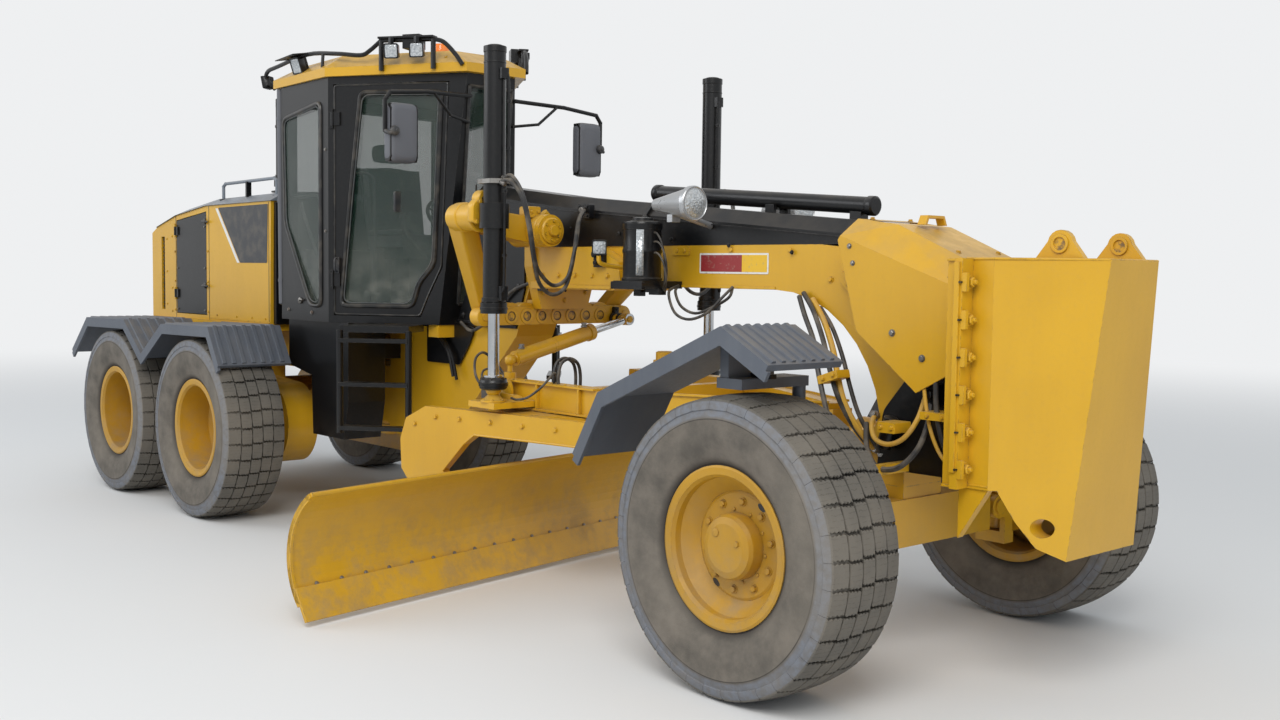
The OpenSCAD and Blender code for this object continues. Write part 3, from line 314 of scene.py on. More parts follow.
steel = bright_steel()
rod_chrome = polished_rod()
tyre_rubber = rubber_tyre()
cab_glass = tinted_glass()
seat_fabric = seat_cloth()
hose_rubber = soft_rubber("hose_rubber", shade(34, 34, 35), 0.45, 0.35)
seal_rubber = soft_rubber("seal_rubber", shade(24, 25, 26), 0.3, 0.15)
cable_yellow = soft_rubber("sleeve_yellow", shade(206, 160, 52), 0.5, 0.3)
dark_plastic = soft_rubber("dark_plastic", shade(44, 46, 50), 0.4, 0.2)
mirror_grey = weathered("mirror_shell", shade(96, 98, 104), shade(84, 86, 92), 0.5, 0.25, 0.3, grain=0.001,
    corners=False)
trim_plastic = soft_rubber("trim_plastic", shade(62, 66, 68), 0.5, 0.2)
amber_lens = lens("amber_lens", shade(244, 134, 24), shade(226, 104, 10), 0.02, Emission_Strength=0.12,
    Emission_Color=(0.9, 0.3, 0.02, 1.0), Coat_Weight=0.5)
clear_lens = lens("clear_lens", shade(214, 218, 220), shade(150, 156, 160), 0.012, Metallic=0.35,
    Coat_Weight=0.6)
red_lens = lens("red_lens", shade(170, 26, 20), shade(120, 12, 10), 0.01, Coat_Weight=0.5)
white_paint = bare_paint("white_paint", shade(232, 232, 228), shade(214, 212, 206))
plate_red = bare_paint("plate_red", shade(150, 42, 44), shade(132, 34, 36))
plate_yellow = bare_paint("plate_yellow", shade(236, 190, 44), shade(220, 172, 40))
mirror_face = bare_paint("mirror_face", shade(186, 194, 200), shade(160, 170, 178), 0.04)
mirror_face.node_tree.nodes["Principled BSDF"].inputs["Metallic"].default_value = 1.0
greasy_bore = soft_rubber("greasy_bore", shade(34, 27, 18), 0.35, 0.25)
stack_black = weathered("stack_black", shade(46, 46, 48), shade(70, 62, 56), 0.6, 0.2, 0.3, corners=False)

FINISH_OF_SLOT = {"yellow_paint": yellow_paint, "black_paint": black_paint, "slate_plastic": slate_plastic,
    "grey_paint": grey_paint, "steel": steel, "rod_chrome": rod_chrome, "tyre_rubber": tyre_rubber,
    "cab_glass": cab_glass, "seat_fabric": seat_fabric, "cast_iron": cast_iron}
FINISH_OF_NODE = {"lamps": lamp_shell, "exhaust_stack": stack_black, "cab_interior": trim_plastic}
for row in frame["record"]["subparts"]:
    node = frame["nodes"][row["node"]]
    finish = FINISH_OF_NODE.get(row["node"], FINISH_OF_SLOT[row["material_slot"]])
    if row["node"].endswith(("rim_right", "rim_left")):
        finish = rim_paint_dirt_and_shade
    if not node.material_slots:
        node.data.materials.append(finish)
    for entry in node.material_slots:
        entry.material = finish


# Shapes
ALONG = (1, 0, 0)
UP = (0, 0, 1)


class Shape:
    """A mesh under construction, in drawing millimetres."""

    def __init__(self):
        self.mesh = bmesh.new()

    def skin(self, rings, closed=True, capped=True):
        """Joins rings of equally many points into a tube, with its ends filled."""
        rows = [[self.mesh.verts.new(at(*p)) for p in ring] for ring in rings]
        count = len(rows[0])
        for one, two in zip(rows, rows[1:]):
            for i in range(count if closed else count - 1):
                j = (i + 1) % count
                self.mesh.faces.new((one[i], one[j], two[j], two[i]))
        if capped and closed:
            self.mesh.faces.new(rows[0][::-1])
            self.mesh.faces.new(rows[-1])
        return self

    def box(self, x0, x1, y0, y1, z0, z1):
        y0, y1 = sorted((y0, y1))
        corners = [(x0, y0), (x1, y0), (x1, y1), (x0, y1)]
        return self.skin([[(x, y, z) for x, y in corners] for z in (z0, z1)])

    def prism(self, outline, low, high, plane="xz"):
        """An outline in a plane, extruded across it from low to high."""
        lift = {"xz": lambda a, b, c: (a, c, b), "xy": lambda a, b, c: (a, b, c), "yz": lambda a, b,
            c: (c, a, b)}[plane]
        return self.skin([[lift(a, b, c) for a, b in outline] for c in sorted((low, high))])

    def lathe(self, centre, axis, profile, count=32):
        """Turns (distance along the axis, radius) points about an axis through centre."""
        along = Vector(axis).normalized()
        side = along.orthogonal().normalized()
        up = along.cross(side)
        middle = Vector(centre)
        rings = []
        for distance, radius in profile:
            rings.append([middle + along * distance + (side * math.cos(a) + up * math.sin(a)) * max(radius,
                0.05) for a in (math.tau * i / count for i in range(count))])
        return self.skin(rings)

    def bar(self, start, end, radius, count=24, soft=2.0):
        """A round bar with softened ends."""
        start, end = Vector(start), Vector(end)
        long = (end - start).length
        edge = min(soft, radius * 0.4, long * 0.3)
        return self.lathe(start, end - start, [(0, radius - edge), (edge, radius), (long - edge, radius),
            (long, radius - edge)], count)

    def bolt(self, centre, axis, size=15, turn=0.3):
        """A hexagon head on a washer."""
        along = Vector(axis).normalized()
        self.lathe(centre, axis, [(0, size * 1.35), (size * 0.25, size * 1.3)], 14)
        side = along.orthogonal().normalized()
        up = along.cross(side)
        middle = Vector(centre)
        rings = [[middle + along * size * d + (side * math.cos(a) + up * math.sin(a)) * size * w
            for a in (turn + math.tau * i / 6 for i in range(6))] for d, w in ((0.25, 1), (0.85, 1),
            (1.0, 0.82))]
        return self.skin(rings)

    def bolt_circle(self, centre, axis, radius, count, size, start=0.0):
        """Bolts spaced evenly round a centre, on a face square to the drawing's x or z."""
        for k in range(count):
            a = math.tau * k / count + start
            c, s = radius * math.cos(a), radius * math.sin(a)
            self.bolt(Vector(centre) + Vector((0, c, s) if axis == ALONG else (c, s, 0)), axis, size, a)

    def tube(self, points, radius, count=10, smooth=6):
        """A round tube or hose through the points, on one smooth curve."""
        line = smooth_line(points, smooth) if smooth else [Vector(p) for p in points]
        rings, side = [], None
        for i, point in enumerate(line):
            ahead = (line[min(i + 1, len(line) - 1)] - line[max(i - 1, 0)]).normalized()
            side = ahead.orthogonal() if side is None else side - ahead * side.dot(ahead)
            side.normalize()
            up = ahead.cross(side)
            rings.append([point + (side * math.cos(a) + up * math.sin(a)) * radius
                for a in (math.tau * k / count for k in range(count))])
        return self.skin(rings)


def smooth_line(points, steps):
    """Points on a smooth curve that passes through the given ones."""
    pts = [Vector(p) for p in points]
    pts = [pts[0] * 2 - pts[1]] + pts + [pts[-1] * 2 - pts[-2]]
    line = []
    for a, b, c, d in zip(pts, pts[1:], pts[2:], pts[3:]):
        for k in range(steps):
            t = k / steps
            line.append(0.5 * (2 * b + (c - a) * t + (2 * a - 5 * b + 4 * c - d) * t * t
                + (3 * b - a - 3 * c + d) * t ** 3))
    line.append(pts[-2])
    return line


def rounded(outline, radius, steps=4):
    """An outline with its corners rounded."""
    result = []
    count = len(outline)
    for i, point in enumerate(outline):
        here = Vector(point)
        back, ahead = Vector(outline[i - 1]), Vector(outline[(i + 1) % count])
        cut = min(radius, (back - here).length * 0.45, (ahead - here).length * 0.45)
        a, b = here + (back - here).normalized() * cut, here + (ahead - here).normalized() * cut
        for k in range(steps + 1):
            t = k / steps
            p = a * (1 - t) ** 2 + here * 2 * t * (1 - t) + b * t * t
            result.append((p.x, p.y))
    return result


def placed(name, data):
    """A new object in the scene."""
    made = bpy.data.objects.new(name, data)
    bpy.context.scene.collection.objects.link(made)
    return made


def flip(sign, *points):
    """Points of the left side, or the same ones on the right side."""
    return [(x, sign * y, z) for x, y, z in points]


def pad(a0, a1, b0, b1, radius, steps=3):
    """A rounded rectangle."""
    return rounded([(a0, b0), (a1, b0), (a1, b1), (a0, b1)], radius, steps)


def piece(name, shape, finish, body="front_body", bevel=0.0, crease=35):
    """Turns a shape into a scene piece that rides on a body."""
    mesh = bpy.data.meshes.new(name)
    bmesh.ops.recalc_face_normals(shape.mesh, faces=shape.mesh.faces[:])
    shape.mesh.to_mesh(mesh)
    shape.mesh.free()
    made = placed(name, mesh)
    mesh.materials.append(finish)
    mesh.shade_smooth()
    mesh.set_sharp_from_angle(angle=math.radians(crease))
    if bevel:
        soft = made.modifiers.new("softened_edges", "BEVEL")
        soft.width = bevel * MM
        soft.segments = 2
        soft.limit_method = "ANGLE"
        soft.angle_limit = math.radians(40)
        soft.harden_normals = True
    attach(made, body)
    return made


def hose(name, points, diameter, body="front_body", finish=hose_rubber):
    """A hydraulic hose between two fittings on the same body; its length is worked out and not used."""
    line = smooth_line(points, 6)
    made = piece(name, Shape().tube(points, diameter / 2), finish, body)
    length = sum((b - a).length for a, b in zip(line, line[1:])) * MM
    tuple(at(*line[0]))
    diameter * MM
    [tuple(at(*p)) for p in line]


# Wheels
HALF_TRACK = 1100.0
WHEEL_Z = 655.0
FRONT_X = 6123.0
TANDEM_X = 761.5
TREAD_BASE = 634.0
# Rows of tread blocks: inner edge, outer edge, top radius at each, and the row's shift in shares of a pitch.
TREAD_ROWS = [(-208, -124, 640, 651, 0.0), (-114, -44, 652, 654.5, 0.07), (-34, 34, 655, 655, 0.0),
    (44, 114, 654.5, 652, -0.07), (124, 208, 651, 640, 0.0)]
PITCHES = 36
# One edge of a tread block: [share of a pitch, share of the row's width].
BLOCK_EDGE = [(-0.475, 0.0), (-0.40, 0.14), (-0.455, 0.3), (-0.395, 0.44), (-0.45, 0.58), (-0.385, 0.72),
    (-0.445, 0.86), (-0.40, 1.0)]
SHOULDER_LUG = [(638, 204), (624, 214), (598, 218.5), (594, 213), (612, 205)]
SIDE_WALL = [(318.6, 158), (330, 166), (362, 168), (366, 174), (372, 180), (384, 187), (440, 210),
    (500, 219.5), (548, 220), (552, 221.5), (556, 221.5), (560, 219), (596, 213), (612, 208),
    (TREAD_BASE - 4, 198), (TREAD_BASE, 188), (TREAD_BASE + 1, 120), (TREAD_BASE + 3, 0)]


def wheel_shape():
    """Half-worn road tyre: a carcass with five rows of staggered blocks, round the origin in millimetres."""
    tyre = bmesh.new()
    profile = SIDE_WALL + [(r, -y) for r, y in SIDE_WALL[-2::-1]]
    inside = [(480, -176), (600, -150), (606, 0), (600, 150), (480, 176)]
    loop = profile + [(420, -160)] + inside + [(420, 160)]
    count = 138

    def corner(angle, radius, y):
        return tyre.verts.new(Vector((radius * math.sin(angle), y, radius * math.cos(angle))) * MM)

    rows = [[corner(math.tau * k / count, r, y) for r, y in loop] for k in range(count)]
    for one, two in zip(rows, rows[1:] + rows[:1]):
        for i in range(len(loop)):
            j = (i + 1) % len(loop)
            tyre.faces.new((one[i], two[i], two[j], one[j]))

    def block(angle, width, outline, depth_at):
        """One tread block over an outline of (share of pitch, y), with a softened top."""
        mid_u = sum(u for u, _ in outline) / len(outline)
        mid_y = sum(y for _, y in outline) / len(outline)
        rings = []
        for inset, drop in ((0.0, None), (0.0, 4.0), (3.0, 0.0)):
            ring = []
            for u, y in outline:
                du, dy = u - mid_u, y - mid_y
                long = math.hypot(du * width * 640, dy) or 1.0
                keep = 1 - inset / long
                uu, yy = mid_u + du * keep, mid_y + dy * keep
                r = TREAD_BASE - 6 if drop is None else depth_at(yy) - drop
                ring.append(corner(angle + uu * width, r, yy))
            rings.append(ring)
        for one, two in zip(rings, rings[1:]):
            for i in range(len(outline)):
                j = (i + 1) % len(outline)
                tyre.faces.new((one[i], one[j], two[j], two[i]))
        tyre.faces.new(rings[-1])

    dice = random.Random(7)
    pitch = math.tau / PITCHES
    for inner, outer, top_in, top_out, shift in TREAD_ROWS:
        edge_out = abs(outer) > 200
        edge_in = abs(inner) > 200
        for k in range(PITCHES):
            wobble = [dice.uniform(-0.012, 0.012) for _ in BLOCK_EDGE]
            across = outer - inner
            outline = [(u + w, inner + share * across) for (u, share), w in zip(BLOCK_EDGE, wobble)]
            outline += [(0.02, outer + (0 if edge_out else 4))]
            outline += [(u + 0.88 + w, inner + share * across) for (u, share),
                w in zip(BLOCK_EDGE[::-1], wobble)]
            outline += [(-0.02, inner - (0 if edge_in else 4))]
            outline.reverse()
            block((k + shift) * pitch, pitch, outline, lambda y, a=top_in, b=top_out, p=inner,
                q=outer: a + (b - a) * max(0, min(1, (y - p) / (q - p))))
        if edge_out or edge_in:
            side = 1 if edge_out else -1
            for k in range(PITCHES):
                ring_a, ring_b = ([corner((k + shift + end) * pitch, r, side * y) for r, y in SHOULDER_LUG]
                    for end in (-0.494, 0.494))
                for i in range(5):
                    j = (i + 1) % 5
                    tyre.faces.new((ring_a[i], ring_b[i], ring_b[j], ring_a[j]))
                tyre.faces.new(ring_a)
                tyre.faces.new(ring_b[::-1])
    return tyre


tyre_form = wheel_shape()
bmesh.ops.recalc_face_normals(tyre_form, faces=tyre_form.faces[:])
tyre_mesh = bpy.data.meshes.new("tyre")
tyre_form.to_mesh(tyre_mesh)
tyre_form.free()
tyre_mesh.materials.append(tyre_rubber)
tyre_mesh.shade_smooth()
tyre_mesh.set_sharp_from_angle(angle=math.radians(32))

WHEELS = [("front", FRONT_X), ("rear", TANDEM_X), ("tail", -TANDEM_X)]
SIDES = [("right", -1), ("left", 1)]
for place, x in WHEELS:
    for side, sign in SIDES:
        turned_mesh = tyre_mesh.copy()
        turned_mesh.transform(Matrix.Rotation({"front": 0.31, "rear": 1.7, "tail": 2.6}[place] + sign, 4,
            "Y"))
        tyre = placed(f"{place}_tyre_detailed_{side}", turned_mesh)
        tyre.location = at(x, sign * HALF_TRACK, WHEEL_Z)
        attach(tyre, f"{place}_wheel_{side}")
        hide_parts(f"{place}_tyre_{side}")


def round_the_hub(x, sign, out, radius, count, start=0.0):
    """Points on a circle about a hub, out millimetres outward from the tyre's middle."""
    for k in range(count):
        a = start + math.tau * k / count
        yield k, (x + radius * math.cos(a), sign * (HALF_TRACK + out), WHEEL_Z + radius * math.sin(a))


def bead_rings(hub, x, sign):
    """The two lock rings at the rim's outer edge."""
    for radius, out, thick in ((334, 168, 6), (322, 170, 5)):
        ring = [point for _, point in round_the_hub(x, sign, out, radius, 72)]
        hub.tube(ring + ring[:1], thick, 8, 0)


for side, sign in SIDES:
    outward = (0, sign, 0)
    hub = Shape()
    for k, point in round_the_hub(FRONT_X, sign, 70.5, 195, 10, 0.2):
        hub.bolt(point, outward, 15, 0.3 + k)
    for k, point in round_the_hub(FRONT_X, sign, 70.5, 158, 10, 0.5):
        hub.lathe(point, outward, [(0, 8), (5, 8), (7, 5)], 10)
    hub.lathe((FRONT_X - 55, sign * (HALF_TRACK + 156.5), WHEEL_Z + 60), outward,
        [(0, 19), (5, 18), (7, 13)], 20)
    hub.lathe((FRONT_X + 70, sign * (HALF_TRACK + 156.5), WHEEL_Z + 28), outward, [(0, 14), (8, 13)], 6)
    bead_rings(hub, FRONT_X, sign)
    piece(f"front_hub_bolts_{side}", hub, rim_paint_dirt_and_shade, f"front_wheel_{side}")
    # Painted shade: thin dark discs stand where the front rims' hand holes open.
    hole_shade = Shape()
    for k, point in round_the_hub(FRONT_X, sign, 71.3, 224, 2, 0.95):
        tall = Vector(point) - Vector((FRONT_X, point[1], WHEEL_Z))
        tall.normalize()
        across = Vector((-tall.z, 0, tall.x))
        ring = [Vector(point) + tall * 12 * math.sin(a) + across * 24 * math.cos(a)
            for a in (math.tau * i / 20 for i in range(20))]
        hole_shade.skin([ring, [p + Vector((0, sign * 0.6, 0)) for p in ring]])
    piece(f"front_hand_holes_{side}", hole_shade, seal_rubber, f"front_wheel_{side}")
    for place, x in WHEELS[1:]:
        hub = Shape()
        for k, point in round_the_hub(x, sign, -85.5, 215, 12, 0.1):
            hub.bolt(point, outward, 16, 0.2 + k)
        for k, point in round_the_hub(x, sign, -33.8, 78, 8, 0.3):
            hub.bolt(point, outward, 9, k)
        hub.lathe((x, sign * (HALF_TRACK - 34), WHEEL_Z), outward, [(0, 46), (10, 44), (14, 36)], 28)
        bead_rings(hub, x, sign)
        hub.bar((x + 150, sign * (HALF_TRACK - 60), WHEEL_Z + 252), (x + 158, sign * (HALF_TRACK + 110),
            WHEEL_Z + 262), 6)
        piece(f"{place}_hub_bolts_{side}", hub, rim_paint_dirt_and_shade, f"{place}_wheel_{side}")


# Fenders
def fender_ribs(name, line, sign, width, step, body):
    """Seven raised bands along a fender's top, following its fold line in side view."""
    ribs = Shape()
    last = len(line) - 1
    for band in range(7):
        outer = 1300 - step * band
        y0, y1 = sorted((sign * outer, sign * (outer - width)))
        rings = []
        for k, (x, z) in enumerate(line):
            ahead = (Vector(line[min(k + 1, last)]) - Vector(line[max(k - 1, 0)])).normalized()
            out = Vector((-ahead.y, ahead.x))
            if out.y < 0:
                out = -out
            spot = Vector((x, z)) + ahead * {0: 14, last: -14}.get(k, 0)
            rings.append([(spot.x - out.x * 3, y0, spot.y - out.y * 3), (spot.x - out.x * 3, y1,
                spot.y - out.y * 3), (spot.x + out.x * 9, y1 - 7, spot.y + out.y * 9),
                (spot.x + out.x * 9, y0 + 7, spot.y + out.y * 9)])
        ribs.skin(rings)
    piece(name, ribs, slate_plastic, body, bevel=2.5)


FRONT_FENDER = [(5177, 962), (5356, 1267), (6146, 1604), (6420, 1457)]
REAR_FENDER = [(-1606, 1107), (-1250, 1392), (-440, 1402), (-95, 1150), (300, 1395), (1113, 1405),
    (1287, 1139)]
for side, sign in SIDES:
    fender_ribs(f"front_fender_ribs_{side}", FRONT_FENDER, sign, 34, 61, f"lean_{side}")
    fender_ribs(f"rear_fender_ribs_{side}", REAR_FENDER, sign, 42, 72, "rear_body")
    stays = Shape()
    stays.box(FRONT_X - 150, FRONT_X + 60, sign * 1016, sign * 1054, 1372, 1392)
    for x in (-120, 20):
        stays.bolt((FRONT_X + x, sign * 1035, 1392), UP, 12)
    piece(f"front_fender_stays_{side}", stays, black_paint, f"lean_{side}", bevel=3)

# Engine hood
HOOD_FACE = 620.5


def hood_plate(outline, thick, sign):
    """A thin plate on the hood's side, from an outline of (x, z)."""
    return Shape().prism(outline, sign * HOOD_FACE, sign * (HOOD_FACE + thick))


for side, sign in SIDES:
    graphic = hood_plate(rounded([(-262, 2300), (130, 1858), (592, 1858), (610, 2306)], 10, 2), 1.5, sign)
    piece(f"hood_dark_panel_{side}", graphic, dark_plastic, "rear_body")
    stripe = hood_plate([(-316, 2296), (76, 1858), (118, 1858), (-274, 2296)], 1.2, sign)
    piece(f"hood_white_stripe_{side}", stripe, white_paint, "rear_body")
    fittings = Shape()
    outward = (0, sign, 0)
    for z in (1452, 1700, 1950, 2180):
        for x in (-1128, -468):
            fittings.bolt((x, sign * HOOD_FACE, z), outward, 8, z)
    for x, z in ((-1300, 2060), (-1300, 1780), (-1300, 1500), (-1190, 2080), (-1190, 1640), (-1190, 1440),
            (560, 1430), (330, 1430), (60, 1430), (-300, 1430)):
        fittings.bolt((x, sign * HOOD_FACE, z), outward, 7, x)
    fittings.box(-436, 640, sign * HOOD_FACE, sign * 624, 1400, 1408)
    piece(f"hood_fittings_{side}", fittings, yellow_paint, "rear_body")
    seams = Shape()
    for x, top in ((-448, 2318), (-1112, 2256), (618, 2318)):
        seams.box(x, x + 7, sign * HOOD_FACE, sign * (HOOD_FACE + 0.9), 1390, top)
    piece(f"hood_seams_{side}", seams, seal_rubber, "rear_body")
    slot_lining = Shape()
    slot_lining.box(-1440, -1330, sign * 560, sign * 596, 1440, 2095)
    for z in range(1470, 2070, 34):
        slot_lining.box(-1425, -1345, sign * 598, sign * 606, z, z + 12)
    piece(f"hood_slot_lining_{side}", slot_lining, dark_plastic, "rear_body")
    face = sign * HOOD_FACE
    latches = Shape()
    for z in (1668, 2196):
        latches.lathe((-520, face, z), outward, [(0, 24), (8, 24), (12, 18)], 20)
        latches.tube([(-520, face + sign * 4, z), (-516, face + sign * 26, z), (-490, face + sign * 34, z),
            (-455, face + sign * 30, z - 4), (-440, face + sign * 14, z - 6)], 9, 8, 5)
    piece(f"engine_door_latches_{side}", latches, dark_plastic, f"engine_door_{side}")
    door_trim = Shape()
    for z in (1462, 1810, 2150):
        for x in (-1070, -528):
            door_trim.bolt((x, face, z), outward, 8, z)
    piece(f"engine_door_bolts_{side}", door_trim, steel, f"engine_door_{side}")

cowl = Shape()
cowl.prism([(642, 1390), (684, 1390), (690, 2318), (642, 2326)], -596, 596)
cowl.prism([(642, 2300), (700, 2290), (690, 2352), (642, 2372)], -520, 520)
piece("hood_front_cowl", cowl, black_paint, "rear_body", bevel=6)

grille = Shape()
for z in range(1496, 2010, 26):
    grille.skin([[(-1626, y, z), (-1604, y, z + 16), (-1601, y, z + 13), (-1623, y, z - 3)]
        for y in (-428, 428)])
for y in (-432, -215, 0, 215, 432):
    grille.box(-1612, -1600, y - 5, y + 5, 1482, 2018)
piece("rear_grille", grille, dark_plastic, "rear_body")
cooler = Shape()
cooler.box(-1560, -1460, -470, 470, 1430, 2070)
for y in range(-450, 460, 30):
    cooler.box(-1572, -1558, y, y + 5, 1440, 2060)
piece("cooler_core", cooler, dark_plastic, "rear_body")
fan = Shape()
fan.lathe((-1430, 0, 1750), ALONG, [(0, 70), (60, 70), (70, 50)], 28)
for k in range(8):
    a = math.tau * k / 8
    c, s = math.cos(a), math.sin(a)
    fan.skin([[(-1430 + dx, r * c - w * side * s, 1750 + r * s + w * side * c) for dx,
        side in ((0, -1), (34, 1), (38, 1), (4, -1))] for r, w in ((60, 40), (300, 70))])
piece("cooling_fan", fan, dark_plastic, "rear_body")

rear_lamps = Shape()
lamp_glass = Shape()
for sign in (-1, 1):
    rear_lamps.prism(pad(sign * 596, sign * 470, 1150, 1290, 16, 4), -1716, -1700, "yz")
    for z, r in ((1185, 24), (1252, 30)):
        lamp_glass.lathe((-1714.5, sign * 533, z), (-1, 0, 0), [(0, r), (10, r * 0.95), (15, r * 0.6),
            (17, 4)], 24)
piece("rear_lamp_housings", rear_lamps, dark_plastic, "rear_body", bevel=3)
piece("rear_lamp_lenses", lamp_glass, red_lens, "rear_body")
bumper = Shape()
for y in range(-560, 600, 140):
    bumper.bolt((-1698, y, 1320), (-1, 0, 0), 12, y)
    bumper.bolt((-1698, y, 925), (-1, 0, 0), 12, y)
bumper.box(-1712, -1699, -330, 330, 1120, 1300)
for y in (-250, 250):
    bumper.tube([(-1700, y, 1040), (-1770, y, 1040), (-1768, y, 1000), (-1700, y, 985)], 12)
piece("rear_bumper_fittings", bumper, yellow_paint, "rear_body", bevel=3)

rail_feet = Shape()
for x in (-380, 560):
    for y in (-520, 520):
        rail_feet.lathe((x, y, 2366), UP, [(0, 34), (8, 34), (12, 22)], 20)
for y in (-520, 520):
    rail_feet.box(60, 84, y - 20, y + 20, 2380, 2500)
piece("hood_rail_feet", rail_feet, black_paint, "rear_body")
STACK_X, STACK_Y = 480, -420
stack = Shape()
for z in (2520, 2900):
    stack.lathe((STACK_X, STACK_Y, z), UP, [(0, 62), (4, 66), (18, 66), (22, 62)], 32)
stack.lathe((STACK_X, STACK_Y, 3060), UP, [(0, 61), (58, 60.5), (59, 52), (2, 50)], 32)
stack.lathe((STACK_X, STACK_Y, 2404.5), UP, [(0, 96), (10, 96), (14, 78)], 32)
piece("exhaust_clamps", stack, stack_black, "rear_body")
piece("air_precleaner", Shape().lathe((330, 300, 2402), UP, [(0, 70), (120, 70), (126, 128), (196, 132),
    (232, 104), (246, 30)], 36), black_paint, "rear_body")

# Cab
B_POST = Vector((1760, -740, 0))
DOOR_WAY = (Vector((2600, -220, 0)) - B_POST).normalized()
DOOR_OUT = Vector((DOOR_WAY.y, -DOOR_WAY.x, 0))
PANE = [(100, 1570), (640, 1570), (690, 1730), (800, 1860), (850, 3010), (250, 3020), (170, 2300)]


def on_door(u, out, z, sign=-1):
    """A point u along the door from its rear post and out from its face."""
    p = B_POST + DOOR_WAY * u + DOOR_OUT * out
    return (p.x, p.y * -sign, z)


def door_line(sign, *points):
    return [on_door(u, out, z, sign) for u, out, z in points]


def around(outline, radius=45, steps=5):
    loop = rounded(outline, radius, steps)
    return loop + [loop[0], loop[1]]


for side, sign in SIDES:
    piece(f"door_pane_seal_{side}", Shape().tube([on_door(u, 3, z, sign) for u, z in around(PANE)], 15, 8,
        0), seal_rubber, f"cab_door_{side}")
    bead = Shape()
    inner = [(120, 1590), (626, 1590), (672, 1738), (784, 1868), (832, 2992), (266, 3002), (188, 2300)]
    bead.tube([on_door(u, 8, z, sign) for u, z in around(inner, 60, 6)], 4.5, 6, 0)
    piece(f"door_pane_bead_{side}", bead, trim_plastic, f"cab_door_{side}")
    shut = Shape()
    edge = [(50, 1510), (694, 1510), (752, 1646), (850, 1844), (896, 3070), (50, 3070)]
    shut.tube([on_door(u, 1, z, sign) for u, z in around(edge, 24, 3)], 6, 6, 0)
    piece(f"door_edge_seal_{side}", shut, seal_rubber, f"cab_door_{side}")
    handle = Shape()
    handle.skin([[on_door(u, out, z, sign) for u, z in pad(58, 92, 1790, 1900, 8)] for out in (2, 22)])
    handle.tube(door_line(sign, (75, 20, 1800), (75, 44, 1812), (75, 48, 1850), (75, 44, 1884),
        (75, 20, 1895)), 8, 8, 5)
    piece(f"door_handle_{side}", handle, dark_plastic, f"cab_door_{side}", bevel=2)
    grab = Shape()
    grab.tube(door_line(sign, (268, -60, 1650), (300, -86, 1660), (304, -92, 1720), (304, -92, 2380),
        (292, -86, 2450), (240, -70, 2480), (190, -48, 2470)), 13)
    grab.lathe(on_door(268, -44, 1650, sign), (-DOOR_OUT.x, sign * DOOR_OUT.y, 0), [(0, 24), (8, 22)], 16)
    piece(f"door_grab_rail_{side}", grab, trim_plastic, f"cab_door_{side}")
    quarter = Shape()
    pane = [(1480, 1560), (1650, 1560), (1650, 2970), (1050, 2900), (1080, 2140)]
    skew = lambda x: sign * (705 + (x - 1000) / 760 * 35 + 3)
    quarter.tube([(x, skew(x), z) for x, z in around(pane, 60, 6)], 14, 8, 0)
    piece(f"quarter_pane_seal_{side}", quarter, seal_rubber)
    quarter_bead = Shape()
    inset_pane = [(1492, 1590), (1632, 1582), (1632, 2948), (1072, 2882), (1100, 2150)]
    quarter_bead.tube([(x, skew(x) + sign * 5, z) for x, z in around(inset_pane, 60, 6)], 4.5, 6, 0)
    piece(f"quarter_pane_bead_{side}", quarter_bead, trim_plastic)
    stay = Shape()
    stay.tube(flip(sign, (1600, 640, 1600), (1560, 640, 1700), (1240, 640, 2180), (1180, 640, 2300)), 10, 8,
        4)
    stay.tube(flip(sign, (1640, 650, 2340), (1080, 650, 2340)), 8, 8, 0)
    piece(f"quarter_pane_stay_{side}", stay, trim_plastic)
    catch = Shape()
    catch.lathe((1320, sign * 722, 1590), (0, sign, 0), [(0, 22), (10, 22), (14, 12)], 18)
    catch.tube(flip(sign, (1320, 732, 1590), (1352, 742, 1596), (1380, 738, 1598)), 7, 8, 4)
    for x, y, z, size in ((1120, 711, 1520, 11), (1500, 729, 1510, 11), (1720, 739, 2080, 9),
            (1720, 739, 2640, 9)):
        catch.bolt((x, sign * y, z), (0, sign, 0), size)
    piece(f"cab_side_fittings_{side}", catch, steel)
    pipe = Shape()
    pipe.tube(flip(sign, (978, 690, 1560), (975, 694, 1700), (962, 694, 3000), (958, 690, 3080)), 22, 12, 5)
    for z in (1720, 2300, 2900):
        pipe.lathe((974 - (z - 1700) * 0.009, sign * 694, z), UP, [(0, 26), (22, 26)], 16)
    piece(f"cab_rear_pipe_{side}", pipe, mirror_grey)
    head = Shape()
    outline = pad(sign * 655, sign * 865, 2492, 2868, 52, 6)
    head.skin([[(x, sign * 760 + (a - sign * 760) * grow, 2680 + (b - 2680) * (1 - (1 - grow) * 0.55)) for a,
        b in outline] for x, grow in ((2702, 0.97), (2706, 1.0), (2742, 1.0), (2762, 0.96), (2774, 0.84),
        (2779, 0.6))])
    piece(f"mirror_shell_{side}", head, mirror_grey)
    glass = Shape()
    outline = pad(sign * 664, sign * 856, 2504, 2856, 44, 6)
    glass.skin([[(x, a, b) for a, b in outline] for x in (2699.5, 2702)])
    piece(f"mirror_glass_{side}", glass, mirror_face)
    mount = Shape()
    mount.lathe((2776, sign * 838, 2688), ALONG, [(0, 30), (12, 32), (26, 26), (34, 12)], 20)
    mount.bolt((2806, sign * 838, 2688), ALONG, 11)
    mount.tube(flip(sign, (2735, 880, 2690), (2780, 872, 2672), (2790, 842, 2686)), 12, 10, 5)
    piece(f"mirror_mount_{side}", mount, dark_plastic)

